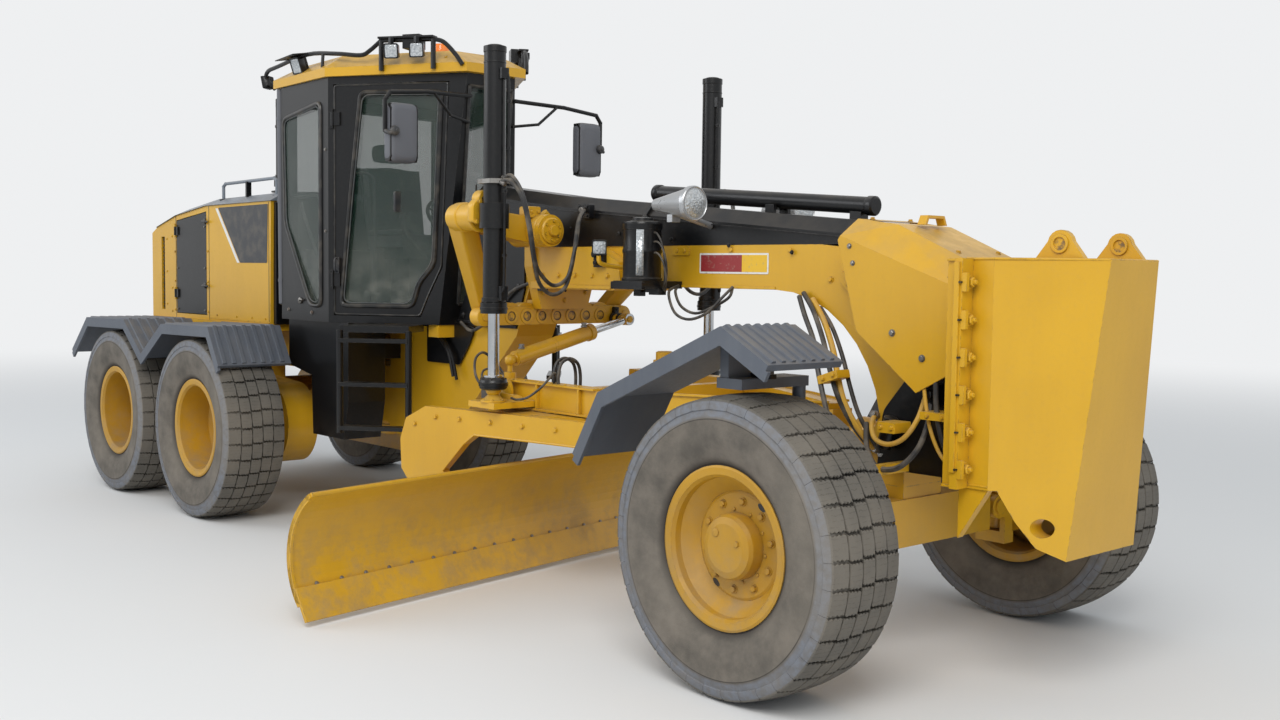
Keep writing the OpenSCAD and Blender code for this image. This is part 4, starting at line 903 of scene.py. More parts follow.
screen = Shape()
for y in (-158, 158):
    screen.tube([(2484, y, 1592), (2641 - 4, y * 1.1, 3046)], 12, 8, 0)
screen.tube([(2486, -158, 1592), (2486, 158, 1592)], 12, 8, 0)
screen.tube([(2638, -174, 3046), (2638, 174, 3046)], 12, 8, 0)
piece("front_pane_seal", screen, seal_rubber)
wiper = Shape()
wiper.lathe((2500, 60, 1640), (1, 0, -0.1), [(0, 20), (22, 18)], 18)
wiper.tube([(2522, 60, 1640), (2545, -10, 1900), (2560, -60, 2060)], 7, 8, 5)
wiper.tube([(2536, -40, 1800), (2596, -90, 2400)], 6, 8, 3)
piece("front_wiper", wiper, seal_rubber)

cab_rear = Shape()
for z in (1690, 3010):
    cab_rear.tube([(994, -604, z), (994, 604, z)], 14, 8, 0)
for y in (-604, 604):
    cab_rear.tube([(994, y, 1690), (994, y, 3010)], 14, 8, 0)
cab_rear.tube([(985, 0, 1700), (984, 60, 2200), (984, 90, 2500)], 7, 8, 4)
piece("rear_pane_seal", cab_rear, seal_rubber)

# roof: rail, lamp plate, working lamps, beacon
roof = Shape()
right_rail = [(760, -640, 3160), (742, -690, 3230), (800, -704, 3272), (960, -712, 3286), (1430, -716, 3322),
    (1800, -694, 3288), (2010, -632, 3262), (2080, -600, 3290), (2160, -561, 3352)]
roof.tube(right_rail, 15, 10, 5)
roof.tube([(x, -y, z) for x, y, z in right_rail], 15, 10, 5)
for sign in (-1, 1):
    roof.tube(flip(sign, (2500, 371.5, 3345), (2570, 335, 3320), (2640, 292, 3240), (2680, 262, 3170)), 15,
        10, 5)
    roof.tube(flip(sign, (1652, 722, 3120), (1650, 722, 3220), (1642, 712, 3306)), 12, 8, 4)
    roof.tube(flip(sign, (760, 640, 3150), (900, 640, 3192)), 12, 8, 3)
piece("roof_rail", roof, black_paint)
top_plate = Shape()
for sign in (-1, 1):
    a, b = Vector((2150, sign * 567, 3358)), Vector((2512, sign * 365, 3352))
    out = Vector((0.49, sign * 0.87, 0))
    rise = Vector((0, 0, 14))
    top_plate.skin([[p + out * 34, p - out * 34, p - out * 34 + rise, p + out * 34 + rise] for p in (a, b)])
piece("roof_lamp_plate", top_plate, black_paint, bevel=3)


def work_lamp(name, centre, aim, size=1.0):
    """A square working lamp with a cooling ribbed back, a bezel and a lens, aimed along a direction."""
    ahead = Vector(aim).normalized()
    side = ahead.cross(Vector(UP)).normalized()
    up = side.cross(ahead)
    middle = Vector(centre)
    face = pad(-58, 58, -58, 58, 16, 4)
    shell = Shape()
    shell.skin([[middle + ahead * d * size + (side * a + up * b) * grow * size for a, b in face] for d,
        grow in ((-58, 0.62), (-40, 0.9), (0, 1.0), (8, 1.0), (8.1, 0.84), (3, 0.82))])
    for k in range(-2, 3):
        shell.skin([[middle + ahead * d * size + (side * (k * 20 + w) + up * b) * size for w,
            b in ((-3, -44), (3, -44), (3, 44), (-3, 44))] for d in (-70, -44)])
    piece(name, shell, black_paint)
    piece(name + "_lens", Shape().skin([[middle + ahead * d * size + (side * a + up * b) * grow * size for a,
        b in face] for d, grow in ((2, 0.83), (5, 0.83), (9, 0.5), (10, 0.12))]), clear_lens)


for tag, sign in SIDES:
    for k, (x, y) in enumerate(((2262, 548), (2428, 456))):
        work_lamp(f"roof_lamp_{tag}_{k + 1}", (x, sign * y, 3272), (0.62, sign * 0.78, -0.12), 0.86)
        piece(f"roof_lamp_neck_{tag}_{k + 1}", Shape().box(x - 14, x + 14, sign * (y - 14), sign * (y + 14),
            3312, 3360), black_paint, bevel=3)
    work_lamp(f"side_lamp_{tag}", (1310, sign * 742, 3252), (0.1, sign * 1.0, -0.35), 1.0)
    piece(f"side_lamp_hood_{tag}", Shape().skin([[(x, sign * y, z) for x, y, z in ring]
        for ring in ([(1160, 690, 3316), (1480, 690, 3330), (1480, 690, 3338), (1160, 690, 3324)],
        [(1120, 812, 3296), (1400, 820, 3312), (1400, 820, 3319), (1120, 812, 3303)])]), black_paint,
        bevel=2)
    work_lamp(f"rear_work_lamp_{tag}", (700, sign * 680, 3200), (-0.8, sign * 0.6, -0.2), 0.8)
    piece(f"rear_work_lamp_arm_{tag}", Shape().tube(flip(sign, (760, 655, 3158), (735, 664, 3156),
        (715, 672, 3170)), 11, 8, 4), black_paint)

piece("beacon_dome", Shape().lathe((2010, 10, 3302), UP, [(0, 61.5), (60, 62), (96, 60), (108, 54),
    (111, 30)], 40), amber_lens)
piece("beacon_base", Shape().lathe((2010, 10, 3290.5), UP, [(0, 72), (10, 72), (14, 66), (20, 64)], 36),
    dark_plastic)
roof_trim = Shape()
roof_trim.lathe((1750, -480, 3286), UP, [(0, 30), (16, 26), (20, 12)], 20)
for x, y in ((1000, -640), (1400, -690), (1980, -560), (2500, -270)):
    for s in (1, -1):
        roof_trim.bolt((x, y * s, 3192 + (690 - abs(y)) * 0.1), (0, -0.5 * s, 0.85), 11, x)
piece("roof_bolts", roof_trim, yellow_paint)

# seat, wheel and levers seen through the glass
def padding(name, shape):
    """A padded part of the seat, with its faces swelled."""
    made = piece(name, shape, seat_fabric, crease=180)
    swell = made.modifiers.new("crowned", "SUBSURF")
    swell.levels = swell.render_levels = 2


padding("seat_cushion", Shape().skin([[(x, y * w, z) for y, z in pad(-235, 235, 1990, 2074, 34, 5)] for x,
    w in ((1452, 0.86), (1470, 0.97), (1680, 1.0), (1860, 0.98), (1902, 0.86))]))
padding("seat_back", Shape().skin([[(1412 - (z - 1980) * 0.14 + d, y * w, z) for d,
    y in pad(-36, 46, -225, 225, 30, 5)] for z, w in ((2052, 0.84), (2080, 0.98), (2300, 1.0), (2500, 0.94),
    (2580, 0.76))]))
padding("seat_headrest", Shape().skin([[(1322 - (z - 2620) * 0.12 + d, y * w, z) for d,
    y in pad(-34, 34, -130, 130, 26, 5)] for z, w in ((2610, 0.8), (2630, 0.98), (2700, 1.0),
    (2752, 0.84))]))
pods = Shape()
for sign in (-1, 1):
    pods.skin([[(x, sign * y, z) for y, z in pad(252, 340, 2058, 2100, 14, 4)] for x in (1620, 2060)])
    pods.tube(flip(sign, (1990, 295, 2096), (2002, 295, 2150), (2012, 293, 2206)), 17, 10, 5)
    pods.lathe((2012, sign * 293, 2196), (0.1, 0, 1), [(0, 20), (20, 30), (60, 28), (74, 14)], 18)
    for k in range(4):
        pods.lathe((1720 + k * 50, sign * 296, 2098), UP, [(0, 9), (10, 8)], 12)
pods.tube([(2265, 0, 1890), (2230, 0, 2060), (2190, 0, 2140)], 28, 12, 5)
pods.lathe((2168, 0, 2150), (-0.5, 0, 0.6), [(0, 70), (20, 76), (40, 60)], 24)


def on_wheel(a):
    """A point of the steering wheel's rim."""
    return 2150 - math.sin(a) * 105, 175 * math.cos(a), 2190 + math.sin(a) * 128


pods.tube([on_wheel(math.tau * i / 40) for i in range(41)], 13, 8, 0)
for a in (0.5, 2.6, 4.7):
    pods.tube([(2150, 0, 2175), on_wheel(a)], 9, 8, 0)
pods.skin([[(x, y, z) for y, z in pad(-480, -300, 2210, 2350, 14, 4)] for x in (2180, 2205)])
pods.tube([(2190, -390, 2210), (2200, -390, 2080), (2260, -260, 1900)], 12, 8, 4)
piece("controls", pods, dark_plastic)
lining = Shape()
lining.prism([(1060, -640), (1750, -680), (2560, -200), (2560, 200), (1750, 680), (1060, 640)], 3080, 3112,
    "xy")
lining.prism([(2220, -330), (2500, -180), (2500, 180), (2220, 330)], 3030, 3084, "xy")
lining.box(1060, 1130, -560, 560, 1510, 1960)
piece("cab_lining", lining, trim_plastic, bevel=6)

# Lift linkage
ARM_Y, HUB_Z, HUB_X = 860.0, 2130.0, 3500.0
LINK_X, LINK_Z, LINK_PITCH = 3370, 1540.0, 120
LIFT_X = 3880.0
SADDLE_HUB_Y, SADDLE_HUB_Z = 350, 2065
for side, sign in SIDES:
    cast = Shape()
    y = sign * ARM_Y
    cast.lathe((HUB_X - 14, y, HUB_Z), ALONG, [(0, 56), (6, 70), (16, 76)], 36)
    cast.lathe((HUB_X + 36, y, HUB_Z), ALONG, [(0, 80), (4, 86), (66, 86), (74, 80)], 40)
    cast.lathe((3718, y, HUB_Z), ALONG, [(0, 80), (3, 88), (36, 88), (40, 80)], 40)
    clamp = rounded([(-92, -60), (92, -60), (92, 44), (40, 92), (-40, 92), (-92, 44)], 18, 4)
    cast.skin([[(x, y + a * w, HUB_Z + 22 + b * w) for a, b in clamp] for x,
        w in ((3742, 0.94), (3750, 1.0), (3792, 1.0), (3800, 0.94))])
    for a, b in ((-66, -22), (66, -22), (-44, 92), (44, 92)):
        cast.bolt((3800, y + a, HUB_Z + b - 10), ALONG, 13, a)
    cast.lathe((3740, y + sign * 6, HUB_Z + 96), ALONG, [(0, 46), (4, 54), (60, 54), (66, 46)], 32)
    cast.lathe((3420 - 8, sign * SADDLE_HUB_Y, SADDLE_HUB_Z), ALONG, [(0, 84), (8, 98)], 40)
    cast.lathe((3640, sign * SADDLE_HUB_Y, SADDLE_HUB_Z), ALONG, [(0, 96), (4, 99), (64, 99), (70, 92)], 44)
    cast.lathe((3750, sign * SADDLE_HUB_Y, SADDLE_HUB_Z), ALONG, [(0, 78), (10, 78), (16, 70)], 40)
    cast.lathe((3784, sign * SADDLE_HUB_Y, SADDLE_HUB_Z), ALONG, [(0, 32), (6, 30)], 24)
    cast.bolt_circle((3766, sign * SADDLE_HUB_Y, SADDLE_HUB_Z), ALONG, 56, 6, 8, 0.4)
    block = pad(-46, 46, -34, 34, 12)
    cast.skin([[(x, sign * 350 + sign * 52 + a * w, 2176 + b * w) for a, b in block] for x,
        w in ((3560, 0.95), (3568, 1.0), (3648, 1.0), (3656, 0.95))])
    cast.tube(flip(sign, (3610, 300, 2180), (3610, 262, 2140), (3610, 240, 2060), (3610, 228, 1980)), 24, 12,
        5)
    for a in (-26, 26):
        cast.bolt((3656, sign * 402 + a, 2178), ALONG, 9, a)
    cast.lathe((3296, sign * 470, LINK_Z), (-1, 0, 0), [(96, 30), (104, 44), (118, 44), (124, 36)], 28)
    cast.lathe((3370, sign * 560, LINK_Z), ALONG, [(0, 60), (6, 60), (10, 52)], 32)
    cast.lathe((3379, sign * 560, LINK_Z), ALONG, [(0, 30), (8, 28)], 6)
    piece(f"lift_arm_castings_{side}", cast, yellow_paint, bevel=2)
    dark = Shape()
    dark.lathe((3806, y + sign * 6, HUB_Z + 96), ALONG, [(0, 30), (6, 30), (10, 22)], 6)
    dark.lathe((3814, y + sign * 6, HUB_Z + 96), ALONG, [(0, 14), (8, 12)], 16)
    piece(f"lift_arm_dark_bolt_{side}", dark, black_paint)

    barrel = Shape()
    lx, ly = LIFT_X, y
    for z, tall, r in ((3040, 35, 65), (2980, 10, 64), (1644, 26, 69), (1600, 16, 79)):
        barrel.lathe((lx, ly, z), UP, [(0, r - 2), (2, r), (tall - 2, r), (tall, r - 2)], 40)
    barrel.lathe((lx, ly, 3072), UP, [(0, 46), (8, 46), (12, 36)], 32)
    barrel.bolt_circle((lx, ly, 1640), UP, 64, 8, 7, 0.2)
    fit = pad(-34, 34, -26, 26, 8)
    barrel.skin([[(lx + 66 + a * 0.7, ly - sign * 10 + b, z) for a, b in fit] for z in (1655, 1735)])
    barrel.skin([[(lx + 64 + a * 0.7, ly - sign * 10 + b, z) for a, b in fit] for z in (2890, 2950)])
    piece(f"lift_barrel_collars_{side}", barrel, black_paint, f"lift_barrel_{side}", bevel=1.5)
    strap = Shape()
    plate = rounded([(-70, -72), (96, -72), (96, 8), (60, 72), (-70, 72)], 12, 3)
    strap.skin([[(lx + a, ly + sign * b, z) for a, b in plate] for z in (2310, 2336)])
    strap.bolt((lx + 84, ly - sign * 50, 2336), UP, 9)
    piece(f"lift_barrel_strap_{side}", strap, steel, f"lift_barrel_{side}", bevel=2)
    pipes = Shape()
    pipes.tube([(lx + 68, ly - sign * 20, 2930), (lx + 84, ly - sign * 30, 2900),
        (lx + 86, ly - sign * 34, 2700), (lx + 86, ly - sign * 34, 2360), (lx + 82, ly - sign * 34, 2300)],
        9, 10, 5)
    pipes.tube([(lx + 70, ly + sign * 6, 1700), (lx + 92, ly + sign * 4, 1712),
        (lx + 92, ly - sign * 4, 1800), (lx + 84, ly - sign * 10, 2240), (lx + 82, ly - sign * 10, 2320)], 9,
        10, 5)
    for z in (1900, 2260, 2500, 2760):
        pipes.lathe((lx + 86, ly - sign * (8 if z < 2300 else 34), z), UP, [(0, 14), (16, 14)], 12)
    piece(f"lift_barrel_pipes_{side}", pipes, black_paint, f"lift_barrel_{side}")
    socket = Shape()
    socket.lathe((lx, ly, 1146), UP, [(0, 62), (8, 78), (20, 80), (22, 84), (42, 84), (44, 80), (58, 76),
        (70, 62), (79, 44)], 40)
    socket.bolt_circle((lx, ly, 1206), UP, 68, 8, 8)
    piece(f"lift_rod_socket_{side}", socket, black_paint, f"lift_rod_{side}")
    perch = Shape()
    perch.lathe((lx, ly, 1077), UP, [(0, 74), (10, 74), (16, 56), (40, 34)], 36)
    perch.bolt_circle((lx, ly, 1087), UP, 62, 6, 9, 0.3)
    ear = rounded([(3668, 1076), (3792, 1076), (3792, 1140), (3766, 1186), (3698, 1186), (3668, 1140)], 30,
        6)
    perch.prism(ear, sign * 652, sign * 672)
    perch.prism([(3730, 1076), (3960, 1076), (3960, 1088), (3900, 1108), (3730, 1108)], sign * 690,
        sign * 704)
    piece(f"lift_ball_perch_{side}", perch, yellow_paint, "drawbar", bevel=3)

link = Shape()
bores = Shape()
for i in range(-3, 4):
    link.lathe((LINK_X, i * LINK_PITCH, LINK_Z), ALONG, [(0, 40), (0.1, 50), (5.9, 50), (6, 40), (5.9, 30),
        (0.1, 30)], 32)
    bores.lathe((3289, i * LINK_PITCH, LINK_Z), ALONG, [(0, 29.5), (84, 29.5), (83.9, 25.5), (0.1, 25.5)],
        28)
    crest = [(i * LINK_PITCH + 54 * math.cos(a), LINK_Z + 61 + 24 * math.sin(a))
        for a in (math.pi * k / 12 for k in range(13))]
    link.prism(crest, 3294, 3366, "yz")
piece("link_bar_bosses", link, yellow_paint, bevel=2)
piece("link_bar_bores", bores, greasy_bore)
saddle = Shape()
for y, z in ((-200, 1905), (200, 1905), (-170, 1690), (170, 1690), (0, 1640)):
    saddle.bolt((3450, y, z), ALONG, 14, y)
for sign in (-1, 1):
    for x in (3520, 3680, 3840, 4000, 4140):
        saddle.bolt((x, sign * 235, 1800), (0, sign, 0), 13, x)
    saddle.prism([(3500, 1722), (4170, 1722), (4190, 1742), (3500, 1742)], sign * 235, sign * 247)
piece("saddle_bolts", saddle, yellow_paint, bevel=1.5)
bracket = Shape()
bracket.box(3452, 3478, -230, -30, 1735, 1775)
bracket.box(3452, 3520, -222, -190, 1700, 1735)
bracket.tube([(3478, -160, 1755), (3520, -150, 1750), (3560, -130, 1720), (3575, -90, 1700)], 8, 8, 5)
bracket.lathe((3452, -120, 1756), ALONG, [(0, 24), (34, 22), (38, 12)], 18)
piece("saddle_valve_bracket", bracket, black_paint, bevel=2)

# centre shift cylinder
A = Vector((3645, -570, 1290))
B = Vector((3500, 480, 1515))
WAY = (B - A).normalized()
collars = Shape()
for start, long, r in ((352, 20, 47.5), (376, 314, 46.8)):
    collars.lathe(A + WAY * start, WAY, [(0, r - 3), (3, r), (long - 3, r), (long, r - 3)], 36)
collars.lathe(A + WAY * 34, WAY, [(0, 26), (10, 32), (40, 43), (52, 46.6), (56, 46)], 32)
piece("shift_barrel_collars", collars, yellow_paint, "shift_barrel")
fitting = Shape()
for start in (96, 660):
    spot = A + WAY * start + Vector((0, 0, 46))
    fitting.lathe(spot, UP, [(0, 20), (9, 20), (11, 14), (18, 14)], 16)
    fitting.lathe(spot + Vector((0, 0, 18)), UP, [(0, 17), (10, 17)], 6)
piece("shift_barrel_fittings", fitting, steel, "shift_barrel")
eye = Shape()
eye.lathe(B - Vector((30, 0, 0)), ALONG, [(0, 36), (4, 39.5), (56, 39.5), (60, 36)], 32)
eye.lathe(B + Vector((30, 0, 0)), ALONG, [(0, 22), (8, 22), (10, 16)], 20)
eye.bar(B - WAY * 42, B - WAY * 20, 31)
piece("shift_rod_eye", eye, yellow_paint, "shift_rod")
clamp = Shape()
for x, r in ((3374, 46), (3428, 38)):
    clamp.lathe((x, B.y, B.z), ALONG, [(0, r - 3), (3, r), (15, r), (18, r - 3)], 30)
clamp.prism(pad(B.y - 18, B.y + 18, B.z + 36, B.z + 78, 6, 2), 3371, 3400, "yz")
clamp.bolt((3400, B.y, B.z + 62), ALONG, 9)
piece("shift_eye_clamp", clamp, black_paint, bevel=2)

# Main beam
JOINT_X = 4370
BEAM_SIDE = 150
HEADLAMP_Y, HEADLAMP_Z = 430, 2185
TANK_X, TANK_Y = 4560, -345
cover = Shape()
for sign in (-1, 1):
    cover.prism([(2760, 2316), (3600, 2202), (5830, 2014), (5830, 2008), (3600, 2196), (2760, 2310)],
        sign * 156, sign * 168)
    for x in (2860, 3240, 3700, 4150, 4600, 5050, 5500):
        z = 2300 - (x - 2700) * 0.084
        cover.bolt((x, sign * 163, z - 130), (0, sign, 0), 9, x)
cover.prism([(-172, 1985), (-172, 2150), (-112, 2224), (112, 2224), (172, 2150), (172, 1985), (160, 1985),
    (160, 2146), (106, 2214), (-106, 2214), (-160, 2146), (-160, 1985)], JOINT_X, JOINT_X + 26, "yz")
for x in (4600, 5250):
    cover.lathe((x, 0, 2285 - (x - 4300) * 0.075 - 50), (-0.075, 0, 1), [(0, 30), (16, 30)], 16)
    for y in (-1, 1):
        cover.box(x - 30, x + 30, y * 56 - 12, y * 56 + 12, 2110 - (x - 4300) * 0.02,
            2262 - (x - 4300) * 0.075)
cover.lathe((4296, 0, 2285.3), (1, 0, -0.075), [(0, 46), (6, 50), (40, 50), (46, 46)], 36)
cover.lathe((5856, 0, 2168.3), (1, 0, -0.075), [(0, 46), (6, 50), (40, 50), (48, 40)], 36)
piece("beam_cover_joint", cover, black_paint, bevel=2.5)
side_panel = Shape()
for x, z in ((2560, 1520), (3080, 1520), (3180, 1720), (3180, 2120), (2780, 2240), (2760, 1900),
        (2980, 1800)):
    for sign in (-1, 1):
        side_panel.lathe((x, sign * 166, z), (0, sign, 0), [(0, 20), (6, 20), (10, 12)], 18)
        side_panel.bolt((x, sign * 175, z), (0, sign, 0), 8, x)
for sign in (-1, 1):
    side_panel.box(2500, 3140, sign * 166, sign * 182, 1470, 1486)
piece("cab_front_panel_bolts", side_panel, black_paint, bevel=1.5)
beam = Shape()
for sign in (-1, 1):
    for x, z in ((4640, 1946), (4700, 1946), (5750, 1800), (5930, 1690), (5060, 1950), (5480, 1948)):
        beam.bolt((x, sign * BEAM_SIDE, z), (0, sign, 0), 13, x)
    boss = pad(4600, 4740, 1920, 1968, 10)
    beam.prism(boss, sign * BEAM_SIDE, sign * 158)
    ear = rounded([(5826, 1846), (5940, 1816), (5960, 1760), (5900, 1730), (5826, 1790)], 18, 4)
    beam.prism(ear, sign * BEAM_SIDE, sign * 182)
    beam.bolt((5892, sign * 182, 1790), (0, sign, 0), 20, 0.4)
    beam.box(3420, 5380, sign * BEAM_SIDE, sign * 156, 1743, 1757)
piece("beam_bosses", beam, yellow_paint, bevel=2.5)
piece("blank_plate_edge", Shape().prism(pad(4820, 5330, 1822, 1932, 6, 2), -153, -150.5), white_paint)
piece("blank_plate_red", Shape().box(4830, 5140, -154, -152, 1832, 1922), plate_red)
piece("blank_plate_gold", Shape().box(5140, 5320, -154, -152, 1832, 1922), plate_yellow)

tank = Shape()
tank.lathe((TANK_X, TANK_Y, 1776), UP, [(0, 112), (14, 114), (20, 107), (150, 106), (156, 110), (170, 110),
    (176, 106), (276, 106)], 40)
tank.lathe((TANK_X, TANK_Y, 2088), UP, [(0, 108), (12, 104), (20, 60), (34, 58), (38, 40)], 40)
tank.lathe((4530, -300, 2104), UP, [(0, 20), (30, 18), (34, 10)], 16)
tank.prism(pad(4430, 4690, 1730, 1772, 8, 2), -462, -436)
piece("grease_tank_trim", tank, black_paint, bevel=1.5)
sight = piece("grease_tank_sight", Shape().skin([[(TANK_X + 116 * math.cos(a), TANK_Y + 116 * math.sin(a), z)
    for z in (1806, 2056)] for a in (-1.02, -0.9, -0.78, -0.66)], closed=False, capped=False), clear_lens)
thick = sight.modifiers.new("thickness", "SOLIDIFY")
thick.thickness = 0.004
base = Shape()
base.lathe((4520, -250, 1712), UP, [(0, 34), (60, 34)], 18)
base.box(4440, 4500, -300, -260, 1690, 1735)
base.box(4600, 4680, -330, -270, 1700, 1735)
piece("grease_pump", base, black_paint, bevel=3)

lamp_ring = Shape()
glass = Shape()
for sign in (-1, 1):
    lamp_ring.lathe((5028, sign * HEADLAMP_Y, HEADLAMP_Z), ALONG, [(0, 86), (4, 92), (30, 92), (36, 86),
        (30, 80), (12, 78)], 44)
    lamp_ring.lathe((4752, sign * HEADLAMP_Y, HEADLAMP_Z), ALONG, [(0, 22), (8, 32), (20, 34)], 28)
    glass.lathe((5050, sign * HEADLAMP_Y, HEADLAMP_Z), ALONG, [(0, 79), (8, 78), (18, 56), (22, 20)], 36)
    lamp_ring.box(4880, 4920, sign * HEADLAMP_Y - 30, sign * HEADLAMP_Y + 30, 2090, 2130)
piece("headlamp_rims", lamp_ring, lamp_shell, bevel=1)
piece("headlamp_lenses", glass, clear_lens)
for tag, sign in SIDES:
    work_lamp(f"beam_lamp_{tag}", (4340, sign * 470, 1960), (0.75, sign * 0.62, -0.2), 0.72)
lamp_arm = Shape()
for sign in (-1, 1):
    lamp_arm.tube(flip(sign, (4330, 152, 1850), (4320, 300, 1850), (4320, 440, 1870), (4325, 462, 1915)), 13,
        10, 4)
    lamp_arm.box(4300, 4345, sign * BEAM_SIDE, sign * 164, 1810, 1890)
piece("beam_lamp_arms", lamp_arm, yellow_paint)

# Nose cover and push block
nose = Shape()
nose_bolts = Shape()
for sign in (-1, 1):
    for x, z in ((6270, 1560), (6440, 1452), (6008, 1960), (6030, 1880)):
        nose_bolts.bolt((x, sign * 330, z), (0, sign, 0), 13 if z < 1800 else 10, x)
handle = [(-88, 2064), (-66, 2110), (66, 2110), (88, 2064), (70, 2064), (56, 2096), (-56, 2096), (-70, 2064)]
nose.prism(handle, 6216, 6262, "yz")
for x, y in ((6000, -150), (6000, 150), (6500, -160), (6500, 160)):
    nose.bolt((x, y, 2092 if x < 6200 else 1932), (0.25 if x > 6200 else 0, 0, 1), 11, x)
piece("nose_cover_handle", nose, yellow_paint, bevel=2)
piece("nose_cover_bolts", nose_bolts, steel)

push = Shape()
push_dark = Shape()
for sign in (-1, 1):
    push.box(6764, 6790, sign * 559, sign * 570, 996, 1885)
    for k in range(6):
        z = 1010 + k * 158
        push.prism(pad(6798, 6822, z - 40, z + 40, 5, 2), sign * 540, sign * 561)
        push.lathe((6798, sign * 514, z), ALONG, [(0, 31), (7, 31), (9, 28)], 28)
        push.bolt((6807, sign * 514, z), ALONG, 22, k)
        push.bar((6822, sign * 514, z), (6842, sign * 514, z), 11, 14)
        push_dark.box(6790, 6801, sign * 545, sign * 573.5, z - 3.5, z + 3.5)
        push_dark.box(6800, 6803, sign * 536, sign * 562, z - 3.5, z + 3.5)
    push.box(6701, 6760, sign * 520, sign * 532, 925, 936)
    push.box(6701, 6760, sign * 520, sign * 532, 1889, 1900)
    for y, way in ((262, sign), (232, -sign)):
        push.lathe((7070, sign * y, 1965), (0, way, 0), [(0, 34), (0.1, 40), (7.9, 40), (8, 34), (7.9, 27.5),
            (0.1, 27.5)], 32)
seam = Shape()
corners = [(6762, 480), (6900, 480), (7263, 202), (7263, -202), (6900, -480), (6762, -480)]
seam.tube([(x, y, 1899) for x, y in corners], 6, 8, 0)
for y in (-479, 479):
    seam.tube([(6764, y, 940), (6898, y, 940)], 5, 8, 0)
piece("push_block_bolts", push, yellow_paint, bevel=1.5)
piece("push_block_clamp_marks", push_dark, seal_rubber)
piece("push_block_welds", seam, yellow_paint)

# Drawbar, circle and blade
CIRCLE_X = 3960
DRIVE_X = 4385
BLADE_RADIUS, BLADE_THICK, BLADE_CENTRE = 413.0, 22.0, (-75.0, 350.0)
drawbar = Shape()
for sign in (-1, 1):
    drawbar.box(3462, 4500, sign * 540, sign * 640, 1172, 1184)
    drawbar.box(3462, 4500, sign * 616, sign * 640, 1022, 1034)
    a, b = Vector((4560, sign * 616, 0)), Vector((5690, sign * 70, 0))
    out = Vector((0.435, sign * 0.9, 0))
    drawbar.skin([[p + out * 0, p + out * 14, p + out * 14 + Vector((0, 0, 12)), p + Vector((0, 0, 12))]
        for p in (a + Vector((0, 0, 1172)), b + Vector((0, 0, 1172)))])
    for x in range(3520, 4480, 120):
        drawbar.bolt((x, sign * 628, 1184), UP, 8, x)
    for x in (3600, 3980, 4360):
        drawbar.box(x, x + 14, sign * 616, sign * 638, 1034, 1172)
drawbar.bolt_circle((CIRCLE_X, 0, 1052), UP, 486, 10, 10)
piece("drawbar_flanges", drawbar, yellow_paint, "drawbar", bevel=2)
drive = Shape()
drive.lathe((DRIVE_X, 0, 1053), UP, [(0, 150), (40, 150), (48, 132), (130, 128), (138, 92), (210, 88),
    (220, 70), (262, 66)], 40)
drive.bolt_circle((DRIVE_X, 0, 1093), UP, 138, 12, 9)
drive.lathe((DRIVE_X, 0, 1300), UP, [(0, 52), (60, 52), (66, 40)], 28)
drive.box(4440, 4500, -30, 30, 1210, 1270)
piece("circle_drive", drive, yellow_paint, "drawbar", bevel=2)
for k, x in enumerate((4104, 4146)):
    hose(f"drawbar_arch_hose_{k + 1}", [(x, -600, 1186), (x, -600, 1240), (x - 2, -576, 1302),
        (x - 4, -517, 1326), (x - 6, -458, 1300), (x - 8, -434, 1240), (x - 8, -434, 1150),
        (x - 8, -446, 1060)], 20, "drawbar")


def turned(x, y, z, degrees=10.0):
    """A point given in the circle's own directions, in drawing millimetres."""
    c, s = math.cos(math.radians(degrees)), math.sin(math.radians(degrees))
    return (CIRCLE_X + x * c - y * s, x * s + y * c, z)


ring = Shape()
for sign in (-1, 1):
    out = Vector(turned(0, sign, 0)) - Vector(turned(0, 0, 0))
    for x in (-880, -700, -500, -250, 0, 250, 500):
        ring.bolt(turned(x, sign * 835, 955 if x > -790 else 900), out, 13, x)
    ring.lathe(turned(-595, sign * 846, 340), out, [(0, 46), (12, 46), (18, 38)], 28)
    edge = [(640, 868), (-380, 868), (-470, 810), (-640, 640), (-590, 460)]
    ring.tube([turned(x, sign * 833, z + (6 if x > -400 else 0)) for x, z in edge], 7, 8, 0)
piece("circle_arm_bolts", ring, yellow_paint, "circle", bevel=1.5)
shoes = Shape()
for a in (0.75, 2.35, 3.93, 5.5):
    shoes.lathe((CIRCLE_X + 700 * math.cos(a + 0.17), 700 * math.sin(a + 0.17), 1015.5), UP,
        [(0, 44), (6, 44)], 24)
piece("circle_wear_pads", shoes, steel, "drawbar")


def on_blade(x, y, z):
    """A point in the blade's own directions; its middle lies a little to one side."""
    front = BLADE_CENTRE[0] - (BLADE_RADIUS - BLADE_THICK) * math.cos(math.radians(56))
    shift = -(front + BLADE_CENTRE[0] - BLADE_RADIUS) / 2 * math.tan(math.radians(10))
    return turned(x, y + shift, z)


def blade_face(angle, out=0.0):
    """A point (x, z) on the blade's front face, angle in degrees above level."""
    r = BLADE_RADIUS - BLADE_THICK - out
    a = math.radians(180 - angle)
    return BLADE_CENTRE[0] + r * math.cos(a), BLADE_CENTRE[1] + r * math.sin(a)


